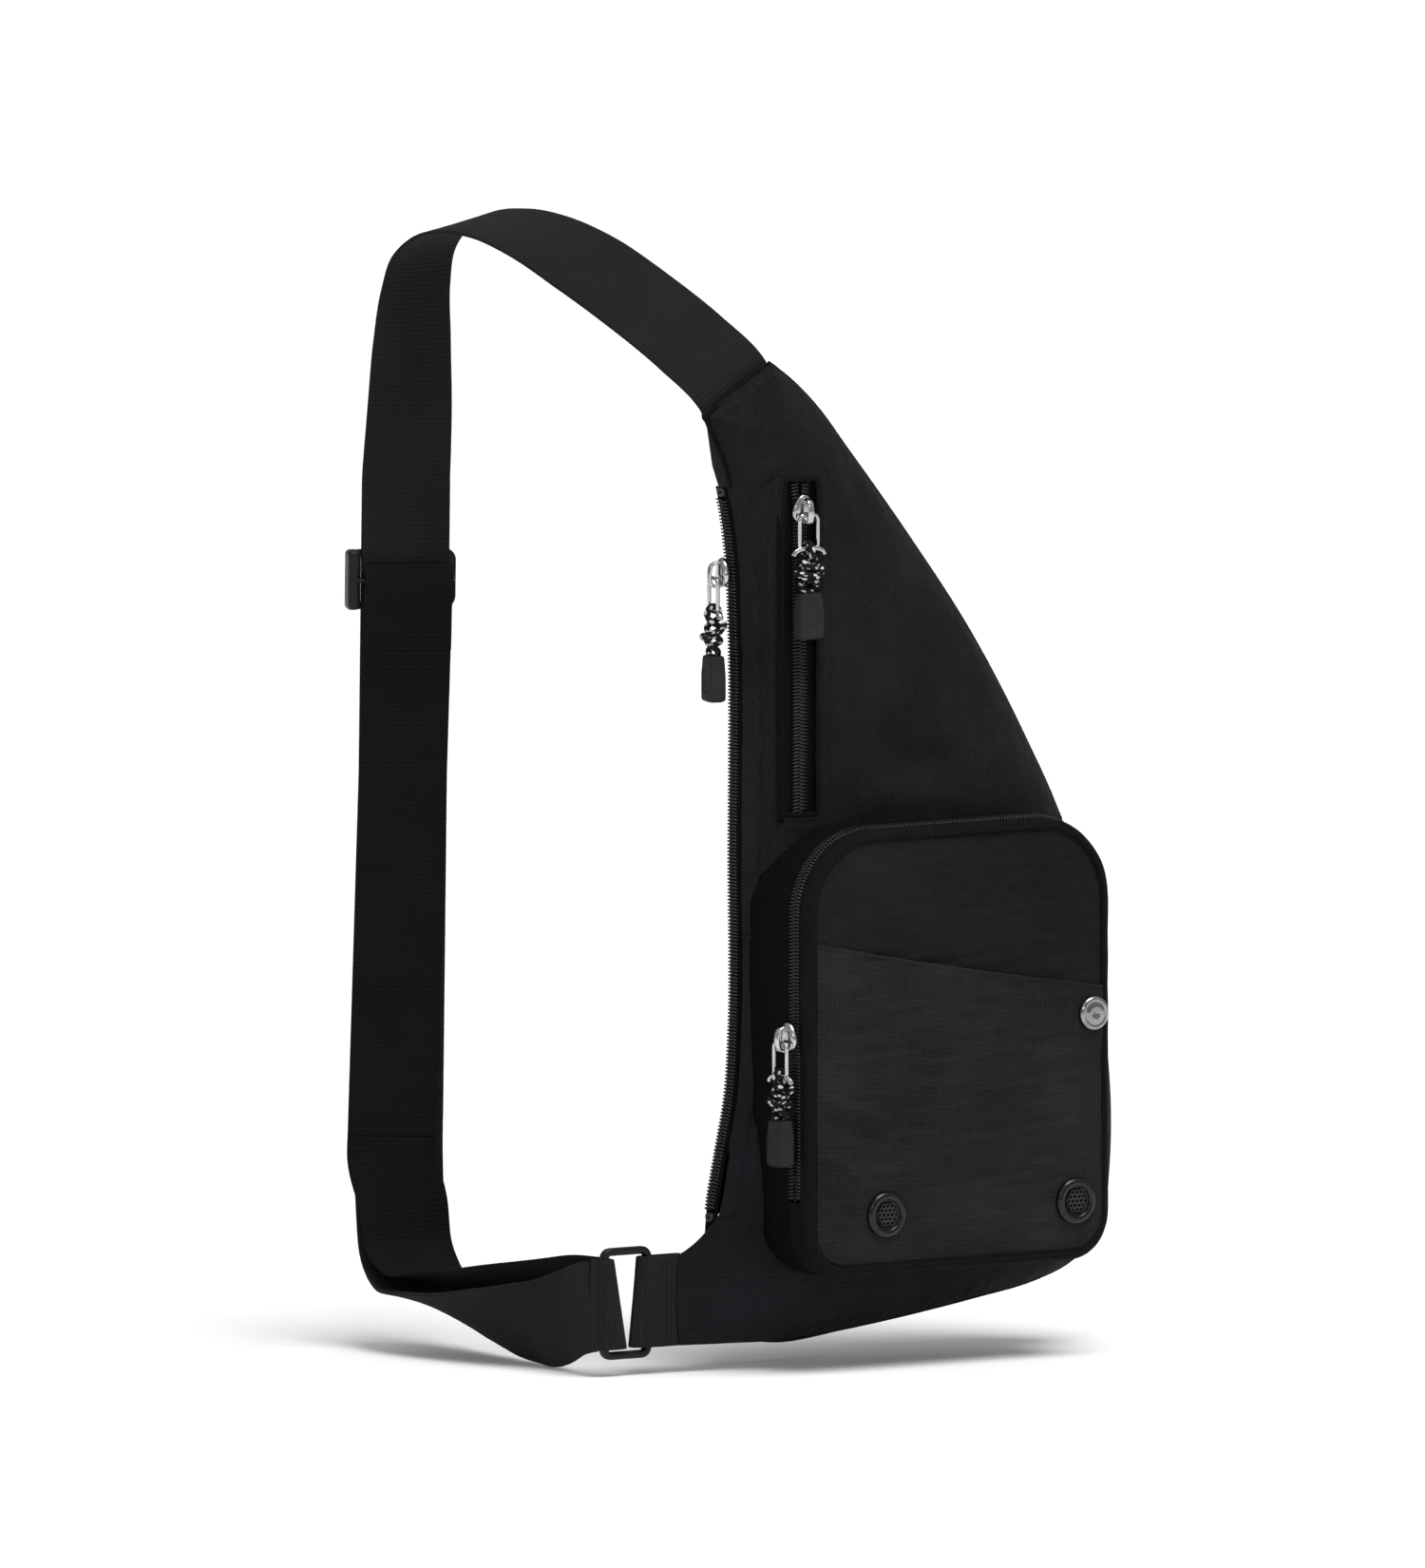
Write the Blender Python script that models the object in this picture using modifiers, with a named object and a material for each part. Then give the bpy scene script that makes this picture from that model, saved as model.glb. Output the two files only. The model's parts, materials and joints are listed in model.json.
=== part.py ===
"""Sling bag: a soft body with a front pocket, three zips and one adjustable webbing strap.

The design is in millimetres in the bag's own frame: X to the right across the front, Y to the rear,
Z up, with Z = 0 at the lowest seam. FRAME moves it all so that the point that rests on the shoulder,
under the strap's crest, becomes the world origin.
"""

import math

import bmesh
import bpy
import numpy as np
from mathutils import Matrix

MM = 0.001
GAP = 0.35  # between pieces that touch
CREST = (-46.0, 109.0, 449.6)  # underside of the strap where it rests on the shoulder

# Body
EDGE_Y = -6.0  # plane of the front seam
BULGE = 13.0  # how far the front stands out of that plane
BULGE_REACH = 9.0  # distance from the seam over which it rises
BACK_Y = 20.0  # plane of the lining's rear
PANEL_T = 0.9
LINING_DROP = 3.6  # lining below the outside of the front panel
SEAM_Z = 167.0  # joint between the upper and the lower front panel, at the left edge

# Zips
CHAIN_W = 5.6
CHAIN_T = 2.6
ZIP_SHARE = (0.13, 0.90)  # stretch of the left side that the main zip takes
SLIT_X = 21.0
SLIT_LOW = 217.0
SLIT_HIGH = 353.0
SLIT_W = 15.0

# Front pocket
POCKET_X = 78.5
POCKET_Z = 121.5
POCKET_W = 150.0
POCKET_H = 181.0
POCKET_TOP_R = 34.0
POCKET_LOW_R = 19.0
FACE_Y = -48.0
POCKET_CHAIN_Y = -38.6  # middle of the pocket's zip in its wall
POCKET_CHAIN_EDGES = (POCKET_CHAIN_Y + 2.85, POCKET_CHAIN_Y - 2.85)
SEAT = 1.6  # between the pocket's wall and the panel it is sewn to
PATCH_LEFT_Z = 167.5
PATCH_RIGHT_Z = 141.0
EYELETS = ((41.3, 55.5), (134.8, 55.5))
EYELET_R = 9.4
SNAP = (143.5, 131.4)

WING_SAG = -1.0

MIDDLE = np.array([POCKET_X, 150.0])

# Webbing
WEB_W = 37.0
WEB_T = 1.6
LAYER_STEP = 4.2  # from the outer layer to the inner one, both at mid thickness
LAYER_SHIFT = 3.0  # the inner layer lies this much to the left at the bottom
RING_X = -53.0
RING_Z = 21.0
RING_BAR = 10.65  # from the ring's middle to the middle of each upright bar
TAB_END_X = -30.0

# Outline of the front seam, as runs of points that the curve passes through
LEFT = ((-8, 6), (-10, 30), (-8.5, 58), (-4.5, 78), (0.5, 102), (2.5, 130), (2.5, 200),
        (2.5, 290), (1, 320), (-3, 345), (-8, 362), (-14, 374), (-17, 381))
RIGHT = ((172, 32), (178, 41), (181, 60), (182, 85), (180, 112), (175, 142), (167, 178), (158, 205),
         (139.5, 241), (112, 286), (82, 326), (52, 363), (36, 382), (25, 392), (14, 400))
BOTTOM = ((-8, 6), (17, 2), (50, 5), (82, 9), (115, 14), (147, 20), (160, 24.5), (172, 32))
TOP = ((-17, 381), (14, 400))

# Stations of the strap: centre (x, y, z) and the direction of its width, from sewn end to ring
STRAP_RISE = (
    ((-2, -1, 392.5), (0.86, 0.0, 0.51)), ((-11, 14, 408), (0.86, 0.04, 0.52)),
    ((-21, 37, 424), (0.87, 0.04, 0.49)), ((-30, 59, 437), (0.89, 0.03, 0.46)),
    ((-38, 83, 447), (0.94, 0.1, 0.32)), ((-44, 101, 451), (0.95, 0.21, 0.22)),
    ((-48, 117, 450.5), (0.94, 0.3, 0.14)), ((-52, 132, 445), (0.95, 0.28, 0.05)),
    ((-54, 141, 436), (0.97, 0.2, 0.03)), ((-55, 145, 422), (0.99, 0.12, 0.0)),
    ((-55.5, 147, 400), (0.99, -0.05, 0.0)), ((-56, 148, 372), (0.97, -0.22, 0.0)),
)
STRAIGHT_TOP = (-57.0, 149.0, 345.0)
STRAIGHT_LOW = (-60.0, 150.0, 70.0)
STRAIGHT_WIDTH = (0.937, -0.35, -0.009)
OUTER_RETURN = (
    ((-60, 149, 48), (0.93, -0.37, 0.0)), ((-61, 145, 29), (0.94, -0.33, 0.03)),
    ((-65, 131, 16), (0.97, -0.15, -0.05)), ((-68, 109, 10), (0.9, 0.04, -0.4)),
    ((-68, 87, 8), (0.78, 0.2, -0.59)), ((-68, 68, 8), (0.6, 0.22, -0.77)),
    ((-67, 50, 9), (0.4, 0.2, -0.89)), ((-66.5, 35, 12), (0.2, 0.14, -0.97)),
    ((-66, 23, 17.5), (0.05, 0.05, -1.0)), ((-66.4, 14, 20), (0.0, 0.0, -1.0)),
)
INNER_RETURN = (
    ((-62, 144, 50), (0.93, -0.37, 0.0)), ((-62, 140, 33), (0.95, -0.3, 0.03)),
    ((-64, 126, 23), (0.97, -0.15, -0.05)), ((-65, 107, 19), (0.9, 0.04, -0.4)),
    ((-65, 87, 17.5), (0.78, 0.18, -0.59)), ((-64, 68, 17.5), (0.6, 0.2, -0.77)),
    ((-62.5, 50, 18), (0.4, 0.18, -0.9)), ((-61, 36, 19), (0.2, 0.12, -0.97)),
    ((-60.5, 24, 20.5), (0.05, 0.05, -1.0)), ((-60.6, 9.5, 21), (0.0, 0.0, -1.0)),
)
TRI_GLIDE_Z = 303.0

FABRIC = (0.016, 0.016, 0.017, 1.0)
RIPSTOP = (0.02, 0.02, 0.021, 1.0)
WEBBING = (0.013, 0.013, 0.013, 1.0)
METAL = (0.32, 0.32, 0.33, 1.0)
PLASTIC = (0.01, 0.01, 0.01, 1.0)
RUBBER = (0.03, 0.03, 0.03, 1.0)
CORD = (0.09, 0.09, 0.09, 1.0)


def clear_scene():
    for obj in list(bpy.data.objects):
        bpy.data.objects.remove(obj)


def new_collection(name, helpers=False):
    collection = bpy.data.collections.new(name)
    bpy.context.scene.collection.children.link(collection)
    collection.hide_render = helpers
    return collection


def make_material(name, color, roughness=0.8, metallic=0.0):
    material = bpy.data.materials.new(name)
    material.use_nodes = True
    shader = material.node_tree.nodes["Principled BSDF"]
    shader.inputs["Base Color"].default_value = color
    shader.inputs["Roughness"].default_value = roughness
    shader.inputs["Metallic"].default_value = metallic
    return material


def link(obj, color, roughness=0.8, metallic=0.0):
    """Put a finished piece into the bag's collection and frame, with a material of its own."""
    PARTS.objects.link(obj)
    obj.parent = FRAME
    obj.data.materials.append(make_material(obj.name, color, roughness, metallic))
    return obj


def smooth_curve(points, count):
    """Points at equal steps along a centripetal-like spline through the given points."""
    knots = np.array(points, float)
    reach = np.r_[0, np.cumsum(np.linalg.norm(np.diff(knots, axis=0), axis=1))]
    slopes = np.gradient(knots, reach, axis=0)
    fine = np.linspace(0, reach[-1], 40 * len(knots))
    span = np.clip(np.searchsorted(reach, fine, side="right") - 1, 0, len(knots) - 2)
    width = (reach[span + 1] - reach[span])[:, None]
    u = (fine - reach[span])[:, None] / width
    curve = ((1 + 2 * u) * (1 - u) ** 2 * knots[span] + u * (1 - u) ** 2 * width * slopes[span]
             + u * u * (3 - 2 * u) * knots[span + 1] + u * u * (u - 1) * width * slopes[span + 1])
    run = np.r_[0, np.cumsum(np.linalg.norm(np.diff(curve, axis=0), axis=1))]
    even = np.linspace(0, run[-1], count)
    return np.stack([np.interp(even, run, axis) for axis in curve.T], axis=1)


def grid_mesh(name, grid, loop_rows=False):
    """A mesh of quads over a (rows, columns, 3) grid in millimetres, closed along the rows if asked."""
    rows, columns = grid.shape[:2]
    index = np.arange(rows * columns).reshape(rows, columns)
    if loop_rows:
        index = np.vstack([index, index[:1]])
    quads = np.stack([index[:-1, :-1], index[:-1, 1:], index[1:, 1:], index[1:, :-1]], axis=-1)
    mesh = bpy.data.meshes.new(name)
    mesh.from_pydata((grid.reshape(-1, 3) * MM).tolist(), [], quads.reshape(-1, 4).tolist())
    return mesh


def shell(name, grid, thickness, color, offset=1.0, loop_rows=False, **finish):
    """A cloth piece: an open grid made solid. Offset 1 adds the thickness on the side of the normals."""
    obj = bpy.data.objects.new(name, grid_mesh(name, grid, loop_rows))
    solid = obj.modifiers.new("Thickness", "SOLIDIFY")
    solid.thickness = thickness * MM
    solid.offset = offset
    return link(obj, color, **finish)


def box(name, size, center, color, bevel=0.0, turn=0.0, **finish):
    """A box with optional rounded edges, turned about Z by an angle in degrees."""
    mesh = bpy.data.meshes.new(name)
    work = bmesh.new()
    bmesh.ops.create_cube(work, size=1.0)
    bmesh.ops.scale(work, vec=[length * MM for length in size], verts=work.verts)
    work.to_mesh(mesh)
    work.free()
    obj = bpy.data.objects.new(name, mesh)
    obj.location = [value * MM for value in center]
    obj.rotation_euler.z = math.radians(turn)
    if bevel:
        edge = obj.modifiers.new("Edges", "BEVEL")
        edge.width = bevel * MM
        edge.segments = 2
    return link(obj, color, **finish)


# ---------------------------------------------------------------- body surfaces

def patch(left, right, bottom, top, rows, columns):
    """A Coons patch in the XZ plane over four sides: rows run upward, columns to the right."""
    t = np.linspace(0, 1, rows)[:, None, None]
    s = np.linspace(0, 1, columns)[None, :, None]
    side_l = smooth_curve(left, rows)[:, None, :]
    side_r = smooth_curve(right, rows)[:, None, :]
    low = smooth_curve(bottom, columns)[None, :, :]
    high = smooth_curve(top, columns)[None, :, :]
    corners = ((1 - s) * (1 - t) * low[:, :1] + s * (1 - t) * low[:, -1:]
               + (1 - s) * t * high[:, :1] + s * t * high[:, -1:])
    return (1 - s) * side_l + s * side_r + (1 - t) * low + t * high - corners


def seam_loop(count):
    """The front seam as one closed loop in XZ, counterclockwise from the lower left corner."""
    sides = [smooth_curve(BOTTOM, count), smooth_curve(RIGHT, count),
             smooth_curve(TOP, count)[::-1], smooth_curve(LEFT, count)[::-1]]
    return np.vstack([side[:-1] for side in sides])


def seam_distance(xz):
    """Distance in XZ from each point to the front seam."""
    start = seam_loop(40)
    step = np.roll(start, -1, axis=0) - start
    away = xz[..., None, :] - start
    along = np.clip((away * step).sum(-1) / (step * step).sum(-1), 0, 1)
    return np.linalg.norm(away - along[..., None] * step, axis=-1).min(-1)


def front_y(xz, drop=0.0):
    """Depth of the body's front: it rises from the seam and flattens out."""
    rise = 1 - np.exp(-seam_distance(xz) / BULGE_REACH)
    return EDGE_Y + drop - BULGE * rise


def on_front(xz, drop=0.0):
    return np.stack([xz[..., 0], front_y(xz, drop), xz[..., 1]], axis=-1)


def side_part(points, low, high):
    """The stretch of a side between two fractions of its length."""
    curve = smooth_curve(points, 200)
    return curve[round(low * 199):round(high * 199) + 1]


def closed_solid(name, front, back, color):
    """A solid between two grids of the same shape, walled along their border."""
    rows, columns = front.shape[:2]
    index = np.arange(rows * columns).reshape(rows, columns)
    quads = np.stack([index[:-1, :-1], index[:-1, 1:], index[1:, 1:], index[1:, :-1]], axis=-1)
    quads = quads.reshape(-1, 4)
    border = np.r_[index[0, :], index[1:, -1], index[-1, -2::-1], index[-2:0:-1, 0]]
    following = np.roll(border, -1)
    shift = rows * columns
    walls = np.stack([border, border + shift, following + shift, following], axis=1)
    faces = np.vstack([quads, quads[:, ::-1] + shift, walls])
    mesh = bpy.data.meshes.new(name)
    points = np.vstack([front.reshape(-1, 3), back.reshape(-1, 3)]) * MM
    mesh.from_pydata(points.tolist(), [], faces.tolist())
    return link(bpy.data.objects.new(name, mesh), color)


def drawn_in(xz, share, left_shift):
    """Scale an outline toward the bag's middle, and move its left side further to the right."""
    pulled = MIDDLE + (xz - MIDDLE) * share
    pulled[..., 0] += left_shift * np.clip((MIDDLE[0] - xz[..., 0]) / MIDDLE[0], 0, 1.3)
    return pulled


def back_outline(xz, extra=0.0):
    """The rear outline. The zip gusset slants, so the left side is drawn in the most."""
    return drawn_in(xz, 0.9 - extra, 10.5 + 90 * extra)


def build_body():
    whole = patch(LEFT, RIGHT, BOTTOM, TOP, 15, 9)
    front = on_front(drawn_in(whole, 0.95, 5.0), LINING_DROP)
    rear = back_outline(whole, 0.03)
    back = np.stack([rear[..., 0], np.full(rear.shape[:2], BACK_Y), rear[..., 1]], axis=-1)
    closed_solid("main_lining", front, back, FABRIC)

    split_left = (SEAM_Z - LEFT[0][1]) / (LEFT[-1][1] - LEFT[0][1])
    fine = patch(LEFT, RIGHT, BOTTOM, TOP, 41, 19)
    row = round(split_left * 40)
    for name, rows in (("front_panel_lower", slice(0, row + 1)), ("front_panel_upper", slice(row, 41))):
        cloth = fine[rows].copy()
        edge = 0 if name.endswith("upper") else -1
        cloth[edge] += (0, 0.5) if edge == 0 else (0, -0.5)
        color = FABRIC if name.endswith("upper") else RIPSTOP
        shell(name, on_front(cloth), PANEL_T, color)


def gusset_section(seam, back, bow, steps):
    """Rows of points from the front seam to the rear outline, bowed outward from the straight line."""
    outward = seam - MIDDLE
    outward /= np.linalg.norm(outward, axis=-1, keepdims=True)
    q = np.asarray(steps)[None, :, None]
    flat = seam[:, None, :] * (1 - q) + back[:, None, :] * q
    flat = flat + outward[:, None, :] * bow * np.sin(math.pi * q)
    y = EDGE_Y + 0.6 + (BACK_Y + 1.5 - EDGE_Y) * np.broadcast_to(q[..., 0], flat.shape[:2])
    return np.stack([flat[..., 0], y, flat[..., 1]], axis=-1)


def build_side_gusset():
    low = smooth_curve(side_part(LEFT, 0.0, ZIP_SHARE[0] - 0.015)[::6], 6)[::-1]
    high = smooth_curve(side_part(LEFT, ZIP_SHARE[1] + 0.02, 1.0)[::-1][::6], 6)
    run = np.vstack([low, smooth_curve(BOTTOM, 16)[1:], smooth_curve(RIGHT, 28)[1:],
                     smooth_curve(TOP, 5)[::-1][1:], high[1:]])
    bow = np.full(len(run), 3.0)
    bow[:6] = 1.0
    bow[-11:] = 0.0
    section = gusset_section(run, back_outline(run), bow[:, None, None], (0.0, 0.25, 0.5, 0.75, 1.0))
    shell("side_gusset", section, PANEL_T, FABRIC, offset=1.0)


def zip_line(count):
    """The main zip's path: outside the left seam by the width of the front strip."""
    run = side_part(LEFT, *ZIP_SHARE)
    run = smooth_curve(run[::6], count)
    return run - (2.5, 0.0)


def build_main_zip():
    chain = zip_line(24)
    seam = chain + (2.5, 0.0)
    back = back_outline(seam)
    front_edge = np.stack([seam[:, 0] - 0.2, np.full(24, EDGE_Y + 0.7), seam[:, 1]], axis=-1)
    fold_front = np.stack([chain[:, 0] + 0.3, np.full(24, -CHAIN_W / 2 - GAP), chain[:, 1]], axis=-1)
    shell("main_zip_tape_front", np.stack([front_edge, fold_front], axis=1), 0.8, FABRIC, offset=-1.0)
    fold_rear = np.stack([chain[:, 0] + 0.6, np.full(24, CHAIN_W / 2 + GAP), chain[:, 1]], axis=-1)
    rear_edge = np.stack([back[:, 0], np.full(24, BACK_Y + 1.5), back[:, 1]], axis=-1)
    shell("main_zip_tape_rear", np.stack([fold_rear, (fold_rear + rear_edge) / 2, rear_edge], axis=1),
          0.8, FABRIC, offset=-1.0)
    low = np.stack([chain[:, 0], np.full(24, -CHAIN_W / 2), chain[:, 1]], axis=-1)
    high = np.stack([chain[:, 0], np.full(24, CHAIN_W / 2), chain[:, 1]], axis=-1)
    shell("main_zip_chain", np.stack([low, high], axis=1), CHAIN_T, PLASTIC, offset=0.0)
    for name, end, step in (("main_zip_stop_low", chain[0], -2.6), ("main_zip_stop_top", chain[-1], 2.6)):
        box(name, (CHAIN_T + 1.0, CHAIN_W, 3.6), (end[0], 0.0, end[1] + step), METAL, 0.4,
            roughness=0.35, metallic=1.0)


def build_slit_zip():
    """A zip under a long window in the upper panel, with its pouch behind."""
    y_mid = float(front_y(np.array([SLIT_X, (SLIT_LOW + SLIT_HIGH) / 2])))
    z_mid = (SLIT_LOW + SLIT_HIGH) / 2
    length = SLIT_HIGH - SLIT_LOW
    cutter = box_cutter("slit_window", (SLIT_W, 8.0, length), (SLIT_X, y_mid, z_mid))
    cut = bpy.data.objects["front_panel_upper"].modifiers.new("Window", "BOOLEAN")
    cut.object = cutter
    cut.operation = "DIFFERENCE"
    z = np.linspace(SLIT_LOW - 6, SLIT_HIGH + 6, 15)
    x = np.array([-12.5, -CHAIN_W / 2 - GAP])
    for name, side in (("slit_zip_tape_left", 1), ("slit_zip_tape_right", -1)):
        across = SLIT_X + (x if side == 1 else -x[::-1])
        xz = np.stack(np.broadcast_arrays(across[None, :], z[:, None]), axis=-1)
        shell(name, on_front(xz, GAP), 0.5, FABRIC, offset=-1.0)
    across = SLIT_X + np.array([-CHAIN_W / 2, CHAIN_W / 2])
    within = np.linspace(SLIT_LOW + 0.6, SLIT_HIGH - 0.6, 15)
    xz = np.stack(np.broadcast_arrays(across[None, :], within[:, None]), axis=-1)
    shell("slit_zip_chain", on_front(xz, 0.0), 1.4, PLASTIC, offset=-0.5)
    across = SLIT_X + np.linspace(-15, 34, 5)
    high = np.linspace(SLIT_LOW - 26, SLIT_HIGH - 22, 12)
    xz = np.stack(np.broadcast_arrays(across[None, :], high[:, None]), axis=-1)
    shell("slit_pouch", on_front(xz, 1.6), 0.6, FABRIC, offset=-1.0)


def box_cutter(name, size, center):
    obj = box(name, size, center, FABRIC)
    PARTS.objects.unlink(obj)
    CUTTERS.objects.link(obj)
    obj.hide_render = True
    obj.display_type = "WIRE"
    return obj


def build_back():
    whole = patch(LEFT, RIGHT, BOTTOM, TOP, 15, 9)
    for name, extra, y, thick, color in (("back_panel_foam", 0.03, BACK_Y + GAP, 3.6, FABRIC),
                                         ("back_panel_mesh", 0.02, BACK_Y + 3.6 + 2 * GAP, 1.2, RIPSTOP)):
        rim = back_outline(whole, extra)
        front = np.stack([rim[..., 0], np.full(rim.shape[:2], y), rim[..., 1]], axis=-1)
        closed_solid(name, front, front + (0, thick, 0), color)


def build_wing():
    """The triangular wing at the lower left: it leaves the seam and carries the ring tab."""
    seam = smooth_curve(((-9.4, 5.0), (-11.4, 30), (-10.8, 48), (-10.6, 53)), 8)
    tab = smooth_curve(((-29.4, 2.4), (-29.4, 20), (-28.4, 38.6)), 8)
    upper_bow = np.sin(np.linspace(0, math.pi, 7))[None, :] * np.linspace(0, 1, 8)[:, None] ** 3
    s_rows = np.linspace(0, 1, 7)[None, :, None]
    xz = seam[:, None] * (1 - s_rows) + tab[:, None] * s_rows
    xz[..., 1] -= 3.5 * upper_bow
    y = EDGE_Y * (1 - s_rows[..., 0]) * np.ones((8, 1)) + WING_SAG * np.sin(math.pi * s_rows[..., 0])
    grid = np.stack([xz[..., 0], y, xz[..., 1]], axis=-1)[:, ::-1]
    shell("wing_panel", grid, 2.2, RIPSTOP, offset=0.0)


# ---------------------------------------------------------------- front pocket

def pocket_outline(shrink=0.0, corner_steps=5):
    """The pocket's outline in XZ, counterclockwise from the lower left corner."""
    half_w = POCKET_W / 2 - shrink
    half_h = POCKET_H / 2 - shrink
    corners = ((-1, -1, POCKET_LOW_R, 180), (1, -1, POCKET_LOW_R, 270), (1, 1, POCKET_TOP_R, 0),
               (-1, 1, POCKET_TOP_R, 90))
    points = []
    for sx, sz, radius, start in corners:
        radius = radius - shrink
        for angle in np.radians(np.linspace(start, start + 90, corner_steps)):
            points.append((POCKET_X + sx * (half_w - radius) + radius * math.cos(angle),
                           POCKET_Z + sz * (half_h - radius) + radius * math.sin(angle)))
    return np.array(points)


def band(name, y_front, y_rear, thickness, color, shrink=0.0, part=None):
    """A strip of the pocket's wall between two depths, as a whole loop or a part of it."""
    run = pocket_outline(shrink)
    if part is not None:
        run = run[part]
    rear = front_y(run) - PANEL_T - SEAT if y_rear is None else np.full(len(run), y_rear)
    front = np.full(len(run), y_front)
    near = np.stack([run[:, 0], front, run[:, 1]], axis=-1)
    far = np.stack([run[:, 0], rear, run[:, 1]], axis=-1)
    return shell(name, np.stack([far, near], axis=1), thickness, color, offset=-1.0,
                 loop_rows=part is None)


def build_pocket():
    rim = pocket_outline(2.0)
    core_front = np.stack([rim[:, 0], np.full(len(rim), FACE_Y + 2.6), rim[:, 1]], axis=-1)
    core_rear = np.stack([rim[:, 0], np.full(len(rim), EDGE_Y - BULGE - PANEL_T - 0.9), rim[:, 1]], axis=-1)
    prism("pocket_lining", core_front, core_rear, FABRIC)
    band("pocket_gusset", POCKET_CHAIN_Y + 3.2, None, 0.8, FABRIC)
    arch_run = np.r_[pocket_outline()[9:], pocket_outline()[:1]]
    chain_part(arch_run)
    band("pocket_band", FACE_Y + 1.4, POCKET_CHAIN_Y - 3.2, 0.8, FABRIC)
    bottom = pocket_outline()[1:9]
    low_strip = np.stack([np.stack([bottom[:, 0], np.full(8, y), bottom[:, 1]], axis=-1)
                          for y in POCKET_CHAIN_EDGES], axis=1)
    shell("pocket_fold_strip", low_strip, 0.8, FABRIC, offset=-1.0)


def chain_part(run):
    """The pocket's chain over the left leg, the arch and the right leg."""
    edges = [np.stack([run[:, 0], np.full(len(run), y), run[:, 1]], axis=-1) for y in POCKET_CHAIN_EDGES]
    edges[0][0, 2] = edges[1][0, 2] = 62.0
    edges[0][-1, 2] = edges[1][-1, 2] = 62.0
    shell("pocket_zip_chain", np.stack(edges, axis=1), 1.6, PLASTIC, offset=-0.7)


def prism(name, front, rear, color):
    """A solid between two loops of the same points, capped with one face each."""
    count = len(front)
    faces = [list(range(count))[::-1], list(range(count, 2 * count))]
    for i in range(count):
        j = (i + 1) % count
        faces.append([i, j, j + count, i + count])
    mesh = bpy.data.meshes.new(name)
    mesh.from_pydata((np.vstack([front, rear]) * MM).tolist(), [], faces)
    work = bmesh.new()
    work.from_mesh(mesh)
    bmesh.ops.recalc_face_normals(work, faces=work.faces)
    bmesh.ops.triangulate(work, faces=[face for face in work.faces if len(face.verts) > 4])
    work.to_mesh(mesh)
    work.free()
    return link(bpy.data.objects.new(name, mesh), color)


def build_pocket_face():
    """The pocket's front: a smooth cloth behind, and the ripstop patch that leaves a slanted mouth."""
    rim = pocket_outline(0.0)
    back = np.stack([rim[:, 0], np.full(len(rim), FACE_Y + 1.1), rim[:, 1]], axis=-1)
    prism("pocket_front_panel", back - (0, 0.9, 0), back, FABRIC)
    slope = (PATCH_RIGHT_Z - PATCH_LEFT_Z) / POCKET_W
    mouth = PATCH_LEFT_Z + slope * (rim[:, 0] - POCKET_X + POCKET_W / 2)
    low = rim[rim[:, 1] < mouth]
    left, right = POCKET_X - POCKET_W / 2, POCKET_X + POCKET_W / 2
    patch_rim = np.vstack([low, [(right, PATCH_RIGHT_Z), (left, PATCH_LEFT_Z)]])
    rear = np.stack([patch_rim[:, 0], np.full(len(patch_rim), FACE_Y - GAP), patch_rim[:, 1]], axis=-1)
    prism("slash_patch", rear - (0, 1.0, 0), rear, RIPSTOP)
    for side, (x, z) in zip(("left", "right"), EYELETS):
        ring("eyelet_" + side, (x, FACE_Y - GAP - 1.0 - GAP, z), EYELET_R, 3.2, 1.6)
        disc("eyelet_mesh_" + side, (x, FACE_Y - GAP - 1.0 - 2 * GAP, z), EYELET_R - 3.6, 0.5)
    turned("snap_cap", (SNAP[0], FACE_Y - 2 * GAP - 1.0, SNAP[1]),
           ((0.0, 2.6), (3.8, 2.3), (6.2, 1.4), (7.1, 0.0), (0.0, 0.0)), METAL, 0.3, 1.0)
    turned("snap_socket", (SNAP[0], FACE_Y + 2.4, SNAP[1]),
           ((0.0, 0.9), (5.0, 0.9), (5.0, 0.0), (0.0, 0.0)), METAL, 0.4, 1.0)


def turned(name, at, profile, color, roughness, metallic, steps=20):
    """A piece turned about an axis that points out of the front, from (radius, height) points."""
    mesh = bpy.data.meshes.new(name)
    points = [(radius * MM, 0, height * MM) for radius, height in profile]
    mesh.from_pydata(points, [(i, i + 1) for i in range(len(points) - 1)], [])
    obj = bpy.data.objects.new(name, mesh)
    screw = obj.modifiers.new("Turn", "SCREW")
    screw.steps = steps
    screw.render_steps = steps
    screw.use_merge_vertices = True
    screw.merge_threshold = 0.00001
    obj.location = [value * MM for value in at]
    obj.rotation_euler.x = math.radians(90)
    return link(obj, color, roughness=roughness, metallic=metallic)


def ring(name, at, radius, width, height):
    return turned(name, at, ((radius - width, 0.3), (radius - width, height * 0.7),
                             (radius - width * 0.6, height), (radius - 0.9, height * 0.85),
                             (radius, 0.0), (radius - width, 0.0), (radius - width, 0.3)),
                  PLASTIC, 0.35, 0.0)


def disc(name, at, radius, height):
    return turned(name, at, ((0.0, height), (radius, height), (radius, 0.0), (0.0, 0.0)),
                  PLASTIC, 0.4, 0.0)


# ---------------------------------------------------------------- webbing

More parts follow.
